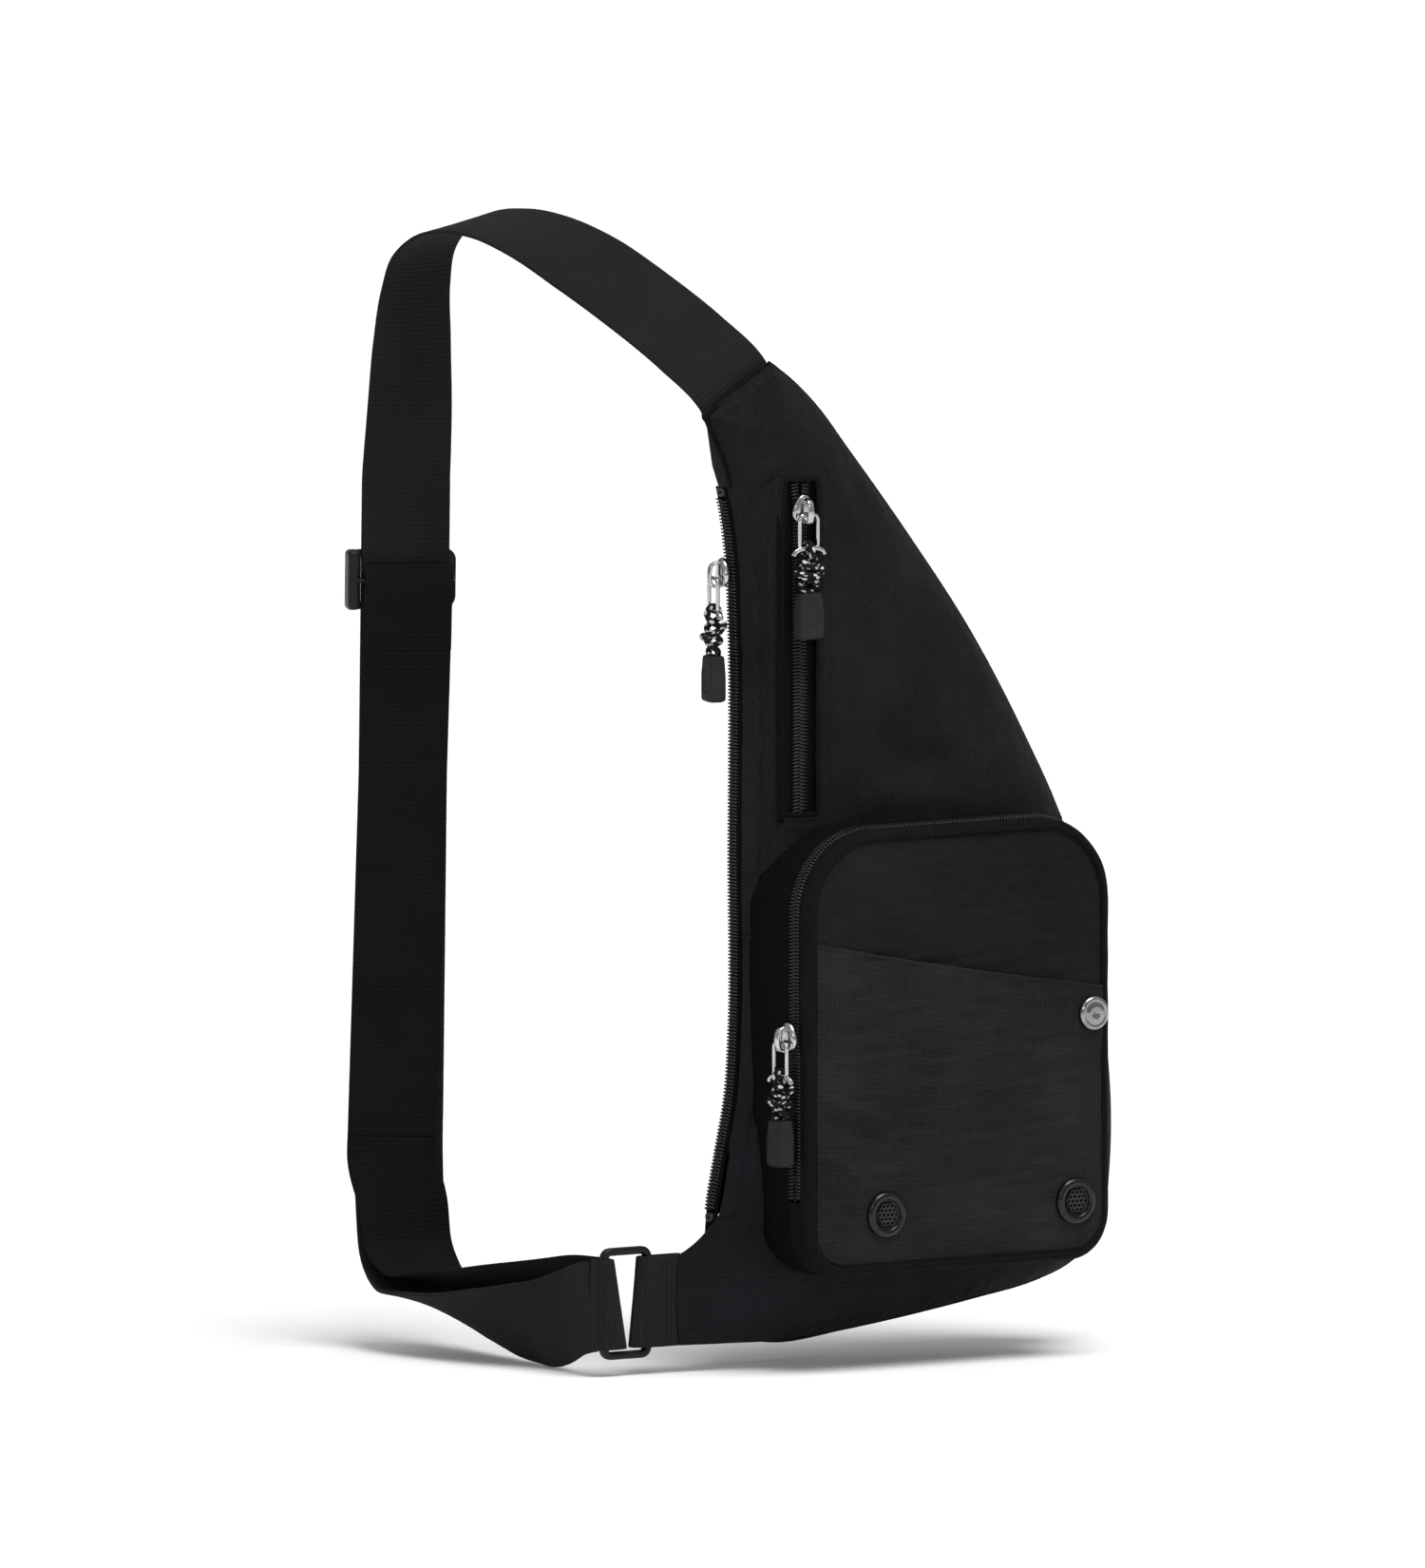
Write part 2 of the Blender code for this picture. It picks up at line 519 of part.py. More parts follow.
def ribbon_rows(stations, count, width=WEB_W):
    """Edge points of a ribbon through the stations, each width direction square to the run."""
    centers = smooth_curve([station[0] for station in stations], count)
    given = np.array([station[0] for station in stations], float)
    reach = np.r_[0, np.cumsum(np.linalg.norm(np.diff(given, axis=0), axis=1))]
    even = np.linspace(0, reach[-1], count)
    ways = np.array([station[1] for station in stations], float)
    across = np.stack([np.interp(even, reach, ways[:, axis]) for axis in range(3)], axis=1)
    tangent = np.gradient(centers, axis=0)
    tangent /= np.linalg.norm(tangent, axis=1, keepdims=True)
    across -= (across * tangent).sum(1, keepdims=True) * tangent
    across /= np.linalg.norm(across, axis=1, keepdims=True)
    return np.stack([centers - across * width / 2, centers + across * width / 2], axis=1)


def straight_stations():
    return ((STRAIGHT_TOP, STRAIGHT_WIDTH), (STRAIGHT_LOW, STRAIGHT_WIDTH))


def straight_frame():
    """Run, width and inward directions of the strap's straight stretch."""
    run = np.subtract(STRAIGHT_LOW, STRAIGHT_TOP)
    run = run / np.linalg.norm(run)
    across = np.array(STRAIGHT_WIDTH) - np.dot(STRAIGHT_WIDTH, run) * run
    across /= np.linalg.norm(across)
    return run, across, np.cross(run, across)


def straight_point(z):
    share = (STRAIGHT_TOP[2] - z) / (STRAIGHT_TOP[2] - STRAIGHT_LOW[2])
    return np.array(STRAIGHT_TOP) * (1 - share) + np.array(STRAIGHT_LOW) * share


def build_strap():
    run, across, inward = straight_frame()
    rise = ribbon_rows(STRAP_RISE + straight_stations()[:1], 34)
    lower = ribbon_rows(straight_stations()[1:] + OUTER_RETURN, 26)
    shell("shoulder_strap", np.vstack([rise, lower]), WEB_T, WEBBING, offset=0.0)
    inner_top = straight_point(TRI_GLIDE_Z - 27.2) + inward * LAYER_STEP
    inner_low = np.array(STRAIGHT_LOW) + inward * LAYER_STEP - across * LAYER_SHIFT
    straight = ribbon_rows(((inner_top, STRAIGHT_WIDTH), (inner_low, STRAIGHT_WIDTH)), 4)
    bend = ribbon_rows(((inner_low, STRAIGHT_WIDTH),) + INNER_RETURN, 26)
    shell("strap_return", np.vstack([straight, bend[1:]]), WEB_T, WEBBING, offset=0.0)


def build_ring_fold():
    """The strap's turn around the ring's left bar, from the outer layer to the inner one."""
    bar_x = RING_X - RING_BAR
    turn = [(bar_x - 3.0, 3.2), (bar_x - 3.5, 1.0)]
    for angle in np.radians(np.linspace(200, 360, 7)):
        turn.append((bar_x + 3.5 * math.cos(angle), 3.5 * math.sin(angle)))
    turn.append((bar_x + 3.3, 3.2))
    rows = np.array(turn)
    low = np.stack([rows[:, 0], rows[:, 1], np.full(len(rows), RING_Z - WEB_W / 2)], axis=-1)
    shell("strap_ring_fold", np.stack([low, low + (0, 0, WEB_W)], axis=1), 1.5, WEBBING, offset=0.0)


def oriented(obj, origin, x_axis, y_axis, z_axis):
    """Place a piece so that its own axes lie along three square directions."""
    matrix = np.eye(4)
    matrix[:3, 0] = x_axis
    matrix[:3, 1] = y_axis
    matrix[:3, 2] = z_axis
    matrix[:3, 3] = np.asarray(origin) * MM
    obj.matrix_basis = Matrix(matrix.tolist())
    return obj


def profile_solid(name, outlines, depth, color, **finish):
    """A flat piece: closed outlines in its own XY plane, later ones cutting holes, of a given depth."""
    curve = bpy.data.curves.new(name, "CURVE")
    curve.dimensions = "2D"
    curve.fill_mode = "BOTH"
    curve.extrude = depth / 2 * MM
    for outline in outlines:
        spline = curve.splines.new("POLY")
        spline.points.add(len(outline) - 1)
        spline.use_cyclic_u = True
        for point, (x, y) in zip(spline.points, outline):
            point.co = (x * MM, y * MM, 0, 1)
    return link(bpy.data.objects.new(name, curve), color, **finish)


def rounded(width, height, radius, center=(0.0, 0.0), steps=3):
    """Outline of a rectangle with round corners."""
    points = []
    for sx, sy, start in ((1, 1, 0), (-1, 1, 90), (-1, -1, 180), (1, -1, 270)):
        for angle in np.radians(np.linspace(start, start + 90, steps + 1)):
            points.append((center[0] + sx * (width / 2 - radius) + radius * math.cos(angle),
                           center[1] + sy * (height / 2 - radius) + radius * math.sin(angle)))
    return points


def build_tri_glide():
    """Adjuster: a frame behind the strap with a raised bar in front of it, and the strap's sewn end."""
    run, across, inward = straight_frame()
    center = straight_point(TRI_GLIDE_Z)
    center_out = center - across * 1.2
    outline = profile_solid("glide_outline", (rounded(46.0, 25.0, 2.5), rounded(39.4, 17.5, 1.0)), 2.4,
                            PLASTIC)
    oriented(outline, center_out - inward * (WEB_T / 2 + GAP + 1.2), across, -run, inward)
    frame = as_mesh(outline, "tri_glide", FRAME)
    link(frame, PLASTIC, roughness=0.35)
    rise = WEB_T + 2 * GAP + 2.4
    staple = ((-21.5, -0.6), (-19.9, -0.6), (-19.9, rise - 1.2), (19.9, rise - 1.2), (19.9, -0.6),
              (21.5, -0.6), (21.5, rise + 1.0), (-21.5, rise + 1.0))
    bridge = profile_solid("glide_bridge", (staple,), 5.0, PLASTIC)
    as_cutter(bridge)
    oriented(bridge, center_out - inward * (WEB_T / 2 + GAP + 1.2), across, inward, run)
    solid = as_mesh(bridge, "glide_bridge_solid", FRAME)
    hide_cutter(solid)
    joined = frame.modifiers.new("Bridge", "BOOLEAN")
    joined.operation = "UNION"
    joined.object = solid
    loop = ((-26.0, 4.2), (-12.0, 4.4), (-5.0, 6.6), (0.0, 7.2), (4.8, 6.0), (5.2, 4.2))
    rows = np.array([center - run * along + inward * up for along, up in loop])
    grid = np.stack([rows - across * WEB_W / 2, rows + across * WEB_W / 2], axis=1)
    shell("strap_end_loop", grid, WEB_T, WEBBING, offset=0.0)


def build_ring():
    """The rectangular ring, in the XZ plane, and the webbing tab that is folded around its right bar."""
    frame = profile_solid("square_ring", (rounded(25.0, 46.0, 2.5), rounded(17.6, 38.6, 1.0)), 3.2,
                          PLASTIC, roughness=0.35)
    oriented(frame, (RING_X, 0.0, RING_Z), (1, 0, 0), (0, 0, 1), (0, -1, 0))
    bar_x = RING_X + RING_BAR
    fold = [(TAB_END_X, -3.2)]
    for angle in np.radians(np.linspace(90, 270, 7)):
        fold.append((bar_x + 3.9 * math.cos(angle), -3.2 * math.sin(angle)))
    fold.append((TAB_END_X, 3.2))
    rows = np.array(fold)
    low = np.stack([rows[:, 0], rows[:, 1], np.full(len(rows), RING_Z - WEB_W / 2)], axis=-1)
    high = low + (0, 0, WEB_W)
    shell("ring_tab", np.stack([low, high], axis=1), 1.5, WEBBING, offset=0.0)


# ---------------------------------------------------------------- zip pulls

def tube(name, points, diameter, color):
    """A cord along points in the piece's own frame."""
    curve = bpy.data.curves.new(name, "CURVE")
    curve.dimensions = "3D"
    curve.bevel_depth = diameter / 2 * MM
    curve.bevel_resolution = 2
    curve.use_fill_caps = True
    spline = curve.splines.new("POLY")
    spline.points.add(len(points) - 1)
    for point, (x, y, z) in zip(spline.points, points):
        point.co = (x * MM, y * MM, z * MM, 1)
    return link(bpy.data.objects.new(name, curve), color)


def build_pull(prefix, at, turn):
    """A slider on its chain with its link, cord loop and moulded end, hanging straight down.

    In the pull's own frame -Y points out of the bag. An empty at each hinge carries what turns there.
    """
    root = bpy.data.objects.new(prefix + "_place", None)
    PARTS.objects.link(root)
    root.parent = FRAME
    root.location = [value * MM for value in at]
    root.rotation_euler.z = math.radians(turn)
    slider = box(prefix + "_slider", (10.4, 3.0, 11.0), (0, -3.4, 0), METAL, 0.9,
                 roughness=0.3, metallic=1.0)
    bail = profile_solid(prefix + "_bail", (rounded(9.0, 5.0, 1.4), rounded(5.6, 2.4, 0.8, (0, 0.3))), 3.0,
                         METAL)
    as_cutter(bail)
    oriented(bail, (0, -6.4, -0.5), (0, 0, 1), (0, -1, 0), (1, 0, 0))
    joined = slider.modifiers.new("Bail", "BOOLEAN")
    joined.operation = "UNION"
    joined.object = as_mesh(bail, prefix + "_bail_solid", root)
    hide_cutter(joined.object)
    slider.parent = root
    window = rounded(7.4, 12.4, 1.4, (0, -7.0))
    outer = ((-5.2, 0.8), (5.2, 0.8), (5.2, -11.4), (7.6, -13.2), (7.6, -15.0), (-7.6, -15.0),
             (-7.6, -13.2), (-5.2, -11.4))
    pull_link = profile_solid(prefix + "_link", (outer, window), 1.4, METAL, roughness=0.3, metallic=1.0)
    hinge = (0, -6.7, -1.9)
    oriented(pull_link, hinge, (1, 0, 0), (0, 0, 1), (0, -1, 0))
    pull_link.parent = root
    loop = [(0, 1.9, -30.9), (0, 2.1, -20.0), (0, 2.6, -14.1), (0, 1.8, -12.2), (0, 0.0, -11.5),
            (0, -1.8, -12.2), (0, -2.6, -14.1), (0, -2.1, -20.0), (0, -1.9, -30.9)]
    cord = tube(prefix + "_cord", loop, 2.4, CORD)
    cord.location = [value * MM for value in hinge]
    cord.parent = root
    end = box(prefix + "_end", (12.6, 7.6, 19.0), (0, -6.7, hinge[2] - 31.3 - 9.5), RUBBER, 1.4,
              roughness=0.75)
    end.parent = root


def hide_cutter(obj):
    CUTTERS.objects.link(obj)
    obj.hide_render = True
    obj.display_type = "WIRE"


def as_cutter(obj):
    PARTS.objects.unlink(obj)
    hide_cutter(obj)


def as_mesh(obj, name, parent):
    """A welded mesh made from a curve, in the same place. The curve itself is removed."""
    bpy.context.view_layer.update()
    graph = bpy.context.evaluated_depsgraph_get()
    mesh = bpy.data.meshes.new_from_object(obj.evaluated_get(graph))
    work = bmesh.new()
    work.from_mesh(mesh)
    bmesh.ops.remove_doubles(work, verts=work.verts, dist=0.00001)
    bmesh.ops.recalc_face_normals(work, faces=work.faces)
    work.to_mesh(mesh)
    work.free()
    mesh.materials.clear()
    copy = bpy.data.objects.new(name, mesh)
    copy.matrix_basis = obj.matrix_basis
    copy.parent = parent
    bpy.data.objects.remove(obj)
    return copy


clear_scene()
PARTS = new_collection("sling_bag")
CUTTERS = new_collection("cutters", helpers=True)
FRAME = bpy.data.objects.new("frame", None)
FRAME.location = [-value * MM for value in CREST]
PARTS.objects.link(FRAME)

build_body()
build_side_gusset()
build_main_zip()
build_slit_zip()
build_back()
build_wing()
build_pocket()
build_pocket_face()
build_strap()
build_tri_glide()
build_ring()
build_ring_fold()
build_pull("main", (-1.6, 0.4, 315.0), -102)
build_pull("slit", (SLIT_X, -17.1, 341.0), 0)
build_pull("pocket", (POCKET_X - POCKET_W / 2 - 0.1, POCKET_CHAIN_Y, 129.0), -90)
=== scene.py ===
"""Looks of a sling bag: cloth shells, coil zips, cord pulls, moulded buckles and ribbed webbing.

Lengths are in millimetres in the bag's own frame: X to the right across the front, Y to the rear, Z up from
the lowest seam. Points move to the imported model's frame, in metres, as (point - CREST) / 1000.
"""

from __future__ import annotations

import json
import logging
import math
from dataclasses import dataclass, field
from enum import Enum
from typing import Callable, Optional, Sequence

import bpy
import numpy as np
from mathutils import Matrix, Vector

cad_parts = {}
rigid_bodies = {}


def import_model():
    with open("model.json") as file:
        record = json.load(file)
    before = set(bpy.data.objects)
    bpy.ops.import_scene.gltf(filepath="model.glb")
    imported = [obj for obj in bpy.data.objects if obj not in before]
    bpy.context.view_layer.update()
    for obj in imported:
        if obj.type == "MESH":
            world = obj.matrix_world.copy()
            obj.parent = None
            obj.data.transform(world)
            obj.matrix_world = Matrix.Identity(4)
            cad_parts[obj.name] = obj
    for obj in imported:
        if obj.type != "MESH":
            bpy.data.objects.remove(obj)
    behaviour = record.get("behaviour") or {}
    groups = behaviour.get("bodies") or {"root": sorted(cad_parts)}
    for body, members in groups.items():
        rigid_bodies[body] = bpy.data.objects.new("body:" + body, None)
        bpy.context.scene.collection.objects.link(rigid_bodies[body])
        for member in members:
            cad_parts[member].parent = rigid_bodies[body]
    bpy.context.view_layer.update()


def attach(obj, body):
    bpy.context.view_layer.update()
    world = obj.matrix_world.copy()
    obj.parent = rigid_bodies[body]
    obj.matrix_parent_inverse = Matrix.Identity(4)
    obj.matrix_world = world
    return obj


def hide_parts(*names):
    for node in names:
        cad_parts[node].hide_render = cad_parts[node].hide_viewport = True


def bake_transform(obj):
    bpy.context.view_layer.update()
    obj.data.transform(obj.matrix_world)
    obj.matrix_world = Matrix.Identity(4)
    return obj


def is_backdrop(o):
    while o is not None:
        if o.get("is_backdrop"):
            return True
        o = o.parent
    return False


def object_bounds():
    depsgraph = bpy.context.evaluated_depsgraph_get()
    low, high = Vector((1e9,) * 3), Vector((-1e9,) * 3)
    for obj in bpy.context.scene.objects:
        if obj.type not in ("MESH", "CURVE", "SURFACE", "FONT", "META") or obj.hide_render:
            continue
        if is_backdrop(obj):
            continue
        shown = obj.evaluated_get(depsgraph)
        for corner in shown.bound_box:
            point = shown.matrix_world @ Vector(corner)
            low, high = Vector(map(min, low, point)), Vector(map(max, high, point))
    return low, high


Array = np.ndarray
Socket = bpy.types.NodeSocket
Numbers = Sequence[float]
Triple = tuple[float, float, float]
LOG = logging.getLogger("sling_bag")
MM = 0.001
CREST = np.array([-46.0, 109.0, 449.6])
CLOTH_UV = "cloth"
FRONT = (0.0, -1.0, 0.0)
REAR = (0.0, 1.0, 0.0)
LEFTWARD = (-1.0, 0.0, 0.0)
DOWN = (0.0, 0.0, -1.0)
FRONT_LEFT = (-0.3, -0.95, 0.0)


class Slot(Enum):
    """Material slots of the record."""

    NYLON = "nylon"
    RIPSTOP = "ripstop"
    LINING = "lining"
    WEBBING = "webbing"
    ZIP_TAPE = "zip_tape"
    ZIP_TEETH = "zip_teeth"
    PULL_METAL = "pull_metal"
    CORD = "cord"
    RUBBER = "rubber"
    BUCKLE = "buckle_plastic"
    EYELET = "eyelet_plastic"
    MESH = "mesh_plastic"
    SNAP = "snap_metal"
    AIR_MESH = "air_mesh"


# Small geometry

def smooth_step(value: Array, low: float, high: float) -> Array:
    """3t^2 - 2t^3 of the value's share t between low and high."""
    t = np.clip((np.asarray(value, float) - low) / (high - low), 0, 1)
    return t * t * (3 - 2 * t)


def unit(vectors: Array) -> Array:
    """Vectors divided by their lengths."""
    return vectors / np.maximum(np.linalg.norm(vectors, axis=-1, keepdims=True), 1e-12)


def run_length(points: Array) -> Array:
    """Length along a path up to each of its points."""
    return np.r_[0, np.cumsum(np.linalg.norm(np.diff(points, axis=0), axis=1))]


def read_off(at: Array, reach: Array, values: Array) -> Array:
    """Values that go with lengths along a path, read off at other lengths."""
    return np.stack([np.interp(at, reach, axis) for axis in values.T], axis=1)


def resample(points: Array, count: int) -> Array:
    """Points at equal steps along a polyline."""
    reach = run_length(points)
    return read_off(np.linspace(0, reach[-1], count), reach, points)


def at_depth(xz: Array, y: Array | float) -> Array:
    """Points (x, y, z) from points across the front and a depth, one or one for each."""
    return np.stack([xz[..., 0], np.broadcast_to(y, xz.shape[:-1]), xz[..., 1]], axis=-1)


def border(grid: Array) -> Array:
    """The rim of a grid as one run round it."""
    return np.concatenate([grid[0], grid[1:, -1], grid[-1, -2::-1], grid[-2:0:-1, 0]])


def smooth_curve(points: Sequence[Numbers] | Array, count: int) -> Array:
    """A cubic Hermite curve through the points, sampled at equal steps.

    Between two knots it is (1+2u)(1-u)^2 a + u(1-u)^2 w p + u^2(3-2u) b + u^2(u-1) w q, with the
    slopes p and q taken from the neighbouring knots.

    Args:
        points: Knots of the curve.
        count: Number of samples.

    Returns:
        Samples, one row each.
    """
    knots = np.array(points, float)
    reach = run_length(knots)
    slopes = np.gradient(knots, reach, axis=0)
    fine = np.linspace(0, reach[-1], 40 * len(knots))
    span = np.clip(np.searchsorted(reach, fine, side="right") - 1, 0, len(knots) - 2)
    width = (reach[span + 1] - reach[span])[:, None]
    u = (fine - reach[span])[:, None] / width
    curve = ((1 + 2 * u) * (1 - u) ** 2 * knots[span] + u * (1 - u) ** 2 * width * slopes[span]
             + u * u * (3 - 2 * u) * knots[span + 1] + u * u * (u - 1) * width * slopes[span + 1])
    return resample(curve, count)


def segment_distance(xz: Array, start: Array, end: Array) -> tuple[Array, Array]:
    """Distance from each point to each segment, and the share along the segment.

    Args:
        xz: Points (..., 2).
        start: Segment starts (n, 2).
        end: Segment ends (n, 2).

    Returns:
        Distances and shares (..., n).
    """
    step = end - start
    away = xz[..., None, :] - start
    along = np.clip((away * step).sum(-1) / (step * step).sum(-1), 0, 1)
    return np.linalg.norm(away - along[..., None] * step, axis=-1), along


def ripple(xz: Array, size: float, seed: int) -> Array:
    """Soft relief from -1 to 1: nine sine waves of seeded random direction, length and phase.

    Args:
        xz: Points (..., 2).
        size: Usual distance between crests.
        seed: Which relief.

    Returns:
        One height per point.
    """
    rng = np.random.default_rng(seed)
    angle = rng.uniform(0, math.tau, 9)
    length = size * rng.uniform(0.6, 1.7, 9)
    phase = rng.uniform(0, math.tau, 9)
    direction = np.stack([np.cos(angle), np.sin(angle)], axis=1) * (math.tau / length)[:, None]
    return np.sin(xz @ direction.T + phase).sum(-1) / 3.2


def rounded_profile(width: float, height: float, radius: float, flat: int = 6, steps: int = 4) -> Array:
    """A closed rectangle with round corners, counterclockwise: corner centre + radius (cos a, sin a).

    Args:
        width: Full width.
        height: Full height.
        radius: Corner radius.
        flat: Points along each long flat.
        steps: Points on each corner.

    Returns:
        Outline points (n, 2).
    """
    points = []
    half_w, half_h = width / 2 - radius, height / 2 - radius
    for sx, sy, start in ((1, 1, 0), (-1, 1, 90), (-1, -1, 180), (1, -1, 270)):
        turn = np.radians(np.linspace(start, start + 90, steps))
        arc = np.stack([sx * half_w + radius * np.cos(turn), sy * half_h + radius * np.sin(turn)], axis=1)
        points.append(arc)
        if start in (0, 180) and flat:
            share = np.linspace(0, 1, flat + 2)[1:-1, None]
            next_x = -sx * half_w
            points.append(np.hstack([arc[-1, 0] * (1 - share) + next_x * share,
                                     np.full_like(share, arc[-1, 1])]))
    return np.vstack(points)


def circle(radius: float, sides: int) -> Array:
    """Points of a circle, counterclockwise."""
    turn = np.arange(sides) * math.tau / sides
    return radius * np.stack([np.cos(turn), np.sin(turn)], axis=1)


def cells(grid: Array) -> Array:
    """The four corners of every cell of a (rows, columns, ...) grid."""
    corners = np.stack([grid[:-1, :-1], grid[:-1, 1:], grid[1:, 1:], grid[1:, :-1]], axis=2)
    return corners.reshape(-1, 4, *grid.shape[2:])


@dataclass
class Shape:
    """Points, faces and cloth coordinates that are gathered before they become one mesh."""

    points: list[Array] = field(default_factory=list)
    faces: list[Array] = field(default_factory=list)
    uvs: list[Array] = field(default_factory=list)
    count: int = 0

    def add(self, points: Array, faces: Array, uv: Optional[Array] = None) -> "Shape":
        """Add points and the faces between them.

        Args:
            points: Points (..., 3).
            faces: Indexes into them (n, corners).
            uv: Cloth coordinates of each corner, in metres.

        Returns:
            This shape.
        """
        flat = points.reshape(-1, 3)
        self.points.append(flat)
        self.faces.append(faces + self.count)
        self.uvs.append(np.zeros((*faces.shape, 2)) if uv is None else uv)
        self.count += len(flat)
        return self

    def grid(self, grid: Array, around: bool = False, loop: bool = False, caps: bool = False) -> "Shape":
        """Add quads over a grid; cloth coordinates are the lengths run along its columns and rows.

        Args:
            grid: Points (rows, columns, 3).
            around: Close each row on itself.
            loop: Close the last row onto the first.
            caps: Close both ends with a fan about their middle.

        Returns:
            This shape.
        """
        rows, columns = grid.shape[:2]
        index = np.arange(rows * columns).reshape(rows, columns)
        if around:
            index = np.hstack([index, index[:, :1]])
        if loop:
            index = np.vstack([index, index[:1]])
        full = grid.reshape(-1, 3)[index]
        across = np.cumsum(np.linalg.norm(np.diff(full, axis=1), axis=2), axis=1)
        along = np.cumsum(np.linalg.norm(np.diff(full, axis=0), axis=2), axis=0).mean(1)
        u = np.hstack([np.zeros((len(full), 1)), across])
        v = np.broadcast_to(np.r_[0, along][:, None], u.shape)
        before = self.count
        self.add(grid, cells(index), cells(np.stack([u, v], axis=-1)) * MM)
        if caps:
            for row, way in ((0, -1), (-1, 1)):
                ring = index[row]
                middle = grid[row].mean(0)
                fan = np.stack([ring[:-1], ring[1:]], axis=1)[:, ::way] + before - self.count
                fan = np.hstack([np.zeros((len(fan), 1), int), fan])
                self.add(middle, fan)
        return self

    def join(self, other: "Shape") -> "Shape":
        """Add all of another shape."""
        self.points += other.points
        self.faces += [faces + self.count for faces in other.faces]
        self.uvs += other.uvs
        self.count += other.count
        return self

    def copies(self, base: Array, faces: Array, place: Array, axes: Sequence[Array]) -> "Shape":
        """Add one small form at many places: place + x X + y Y + z Z.

        Args:
            base: Points of the form (k, 3).
            faces: Its faces (m, corners).
            place: Places (n, 3).
            axes: The directions X, Y and Z at each place, three (n, 3).

        Returns:
            This shape.
        """
        points = place[:, None] + sum(base[None, :, i:i + 1] * axes[i][:, None] for i in range(3))
        shift = np.arange(len(place))[:, None, None] * len(base)
        return self.add(points, (faces[None] + shift).reshape(-1, faces.shape[1]))

    def mapped(self, change: Callable[[Array], Array]) -> "Shape":
        """The shape with every point passed through a change of place."""
        self.points = [change(points) for points in self.points]
        return self

    def mesh(self, name: str, toward: Optional[Numbers] = None) -> bpy.types.Mesh:
        """One mesh whose faces point outward.

        Args:
            name: Name of the mesh.
            toward: Where an open sheet's faces are to point; a closed shape's volume tells it.

        Returns:
            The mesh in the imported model's frame.
        """
        points = np.vstack(self.points)
        centred = points - points.mean(0)
        total = 0.0
        for faces in self.faces:
            a, b, c = centred[faces[:, 0]], centred[faces[:, 1]], centred[faces[:, 2]]
            d = centred[faces[:, -1]]
            normal = np.cross(b - a, c - a) + np.cross(c - a, d - a)
            total += (normal @ np.array(toward)).sum() if toward is not None else (normal * a).sum()
        way = 1 if total > 0 else -1
        polygons = [face for faces in self.faces for face in faces[:, ::way].tolist()]
        mesh = bpy.data.meshes.new(name)
        mesh.from_pydata(((points - CREST) * MM).tolist(), [], polygons)
        layer = mesh.uv_layers.new(name=CLOTH_UV)
        corners = np.concatenate([uv[:, ::way].reshape(-1, 2) for uv in self.uvs])
        layer.data.foreach_set("uv", corners.astype(np.float32).ravel())
        mesh.shade_smooth()
        return mesh


def swept(path: Array, across: Array, normal: Array, profile: Array) -> Array:
    """A profile carried along a path: path + u across + v normal.

    Args:
        path: The path (rows, 3).
        across: Direction of u at each point.
        normal: Direction of v at each point.
        profile: Outline (k, 2), or one for each row (rows, k, 2).

    Returns:
        Grid of points (rows, k, 3).
    """
    outline = np.broadcast_to(profile, (len(path), *profile.shape[-2:]))
    return path[:, None] + across[:, None] * outline[..., :1] + normal[:, None] * outline[..., 1:]


def path_frame(path: Array, up: Numbers | Array, closed: bool = False) -> tuple[Array, Array]:
    """Directions square to a path: across = tangent x up, and normal = across x tangent.

    Args:
        path: The path (n, 3).
        up: Rough normal, one or one for each point.
        closed: Whether the path returns to its start.

    Returns:
        Across and normal directions.
    """
    if closed:
        tangent = unit(np.roll(path, -1, axis=0) - np.roll(path, 1, axis=0))
    else:
        tangent = unit(np.gradient(path, axis=0))
    across = unit(np.cross(tangent, np.broadcast_to(np.asarray(up, float), path.shape)))
    return across, np.cross(across, tangent)


def carried_frame(path: Array) -> tuple[Array, Array]:
    """Directions square to a winding path, carried from point to point without twist.

    Args:
        path: The path (n, 3).

    Returns:
        Across and normal directions.
    """
    tangent = unit(np.gradient(path, axis=0))
    across = np.empty_like(path)
    start = np.cross(tangent[0], (0.31, 0.52, 0.79))
    for row, way in enumerate(tangent):
        start = start - way * (start @ way)
        start = start / np.linalg.norm(start)
        across[row] = start
    return across, np.cross(tangent, across)


def bar(path: Array, profile: Array, up: Numbers, closed: bool = True) -> Shape:
    """A moulded or bent bar: the profile carried along a path, closed on itself or capped."""
    across, normal = path_frame(path, up, closed)
    return Shape().grid(swept(path, across, normal, profile), around=True, loop=closed, caps=not closed)


def strip(path: Array, wide: Numbers | Array, profile: Array) -> Array:
    """A profile carried along a path with its width held one way, and its height along tangent x width."""
    across = np.broadcast_to(np.asarray(wide, float), path.shape)
    return swept(path, across, np.cross(unit(np.gradient(path, axis=0)), across), profile)


def rod(grid: Array) -> Shape:
    """A grid closed along its rows and capped at both ends."""
    return Shape().grid(grid, around=True, caps=True)


def rounded_path(width: float, height: float, radius: float, count: int) -> Array:
    """A rectangle with round corners as a closed path of about the given number of points."""
    outline = rounded_profile(width, height, radius, flat=0, steps=9)
    ring = np.vstack([outline, outline[:1]])
    return resample(ring, count + 1)[:-1]


# Finishes

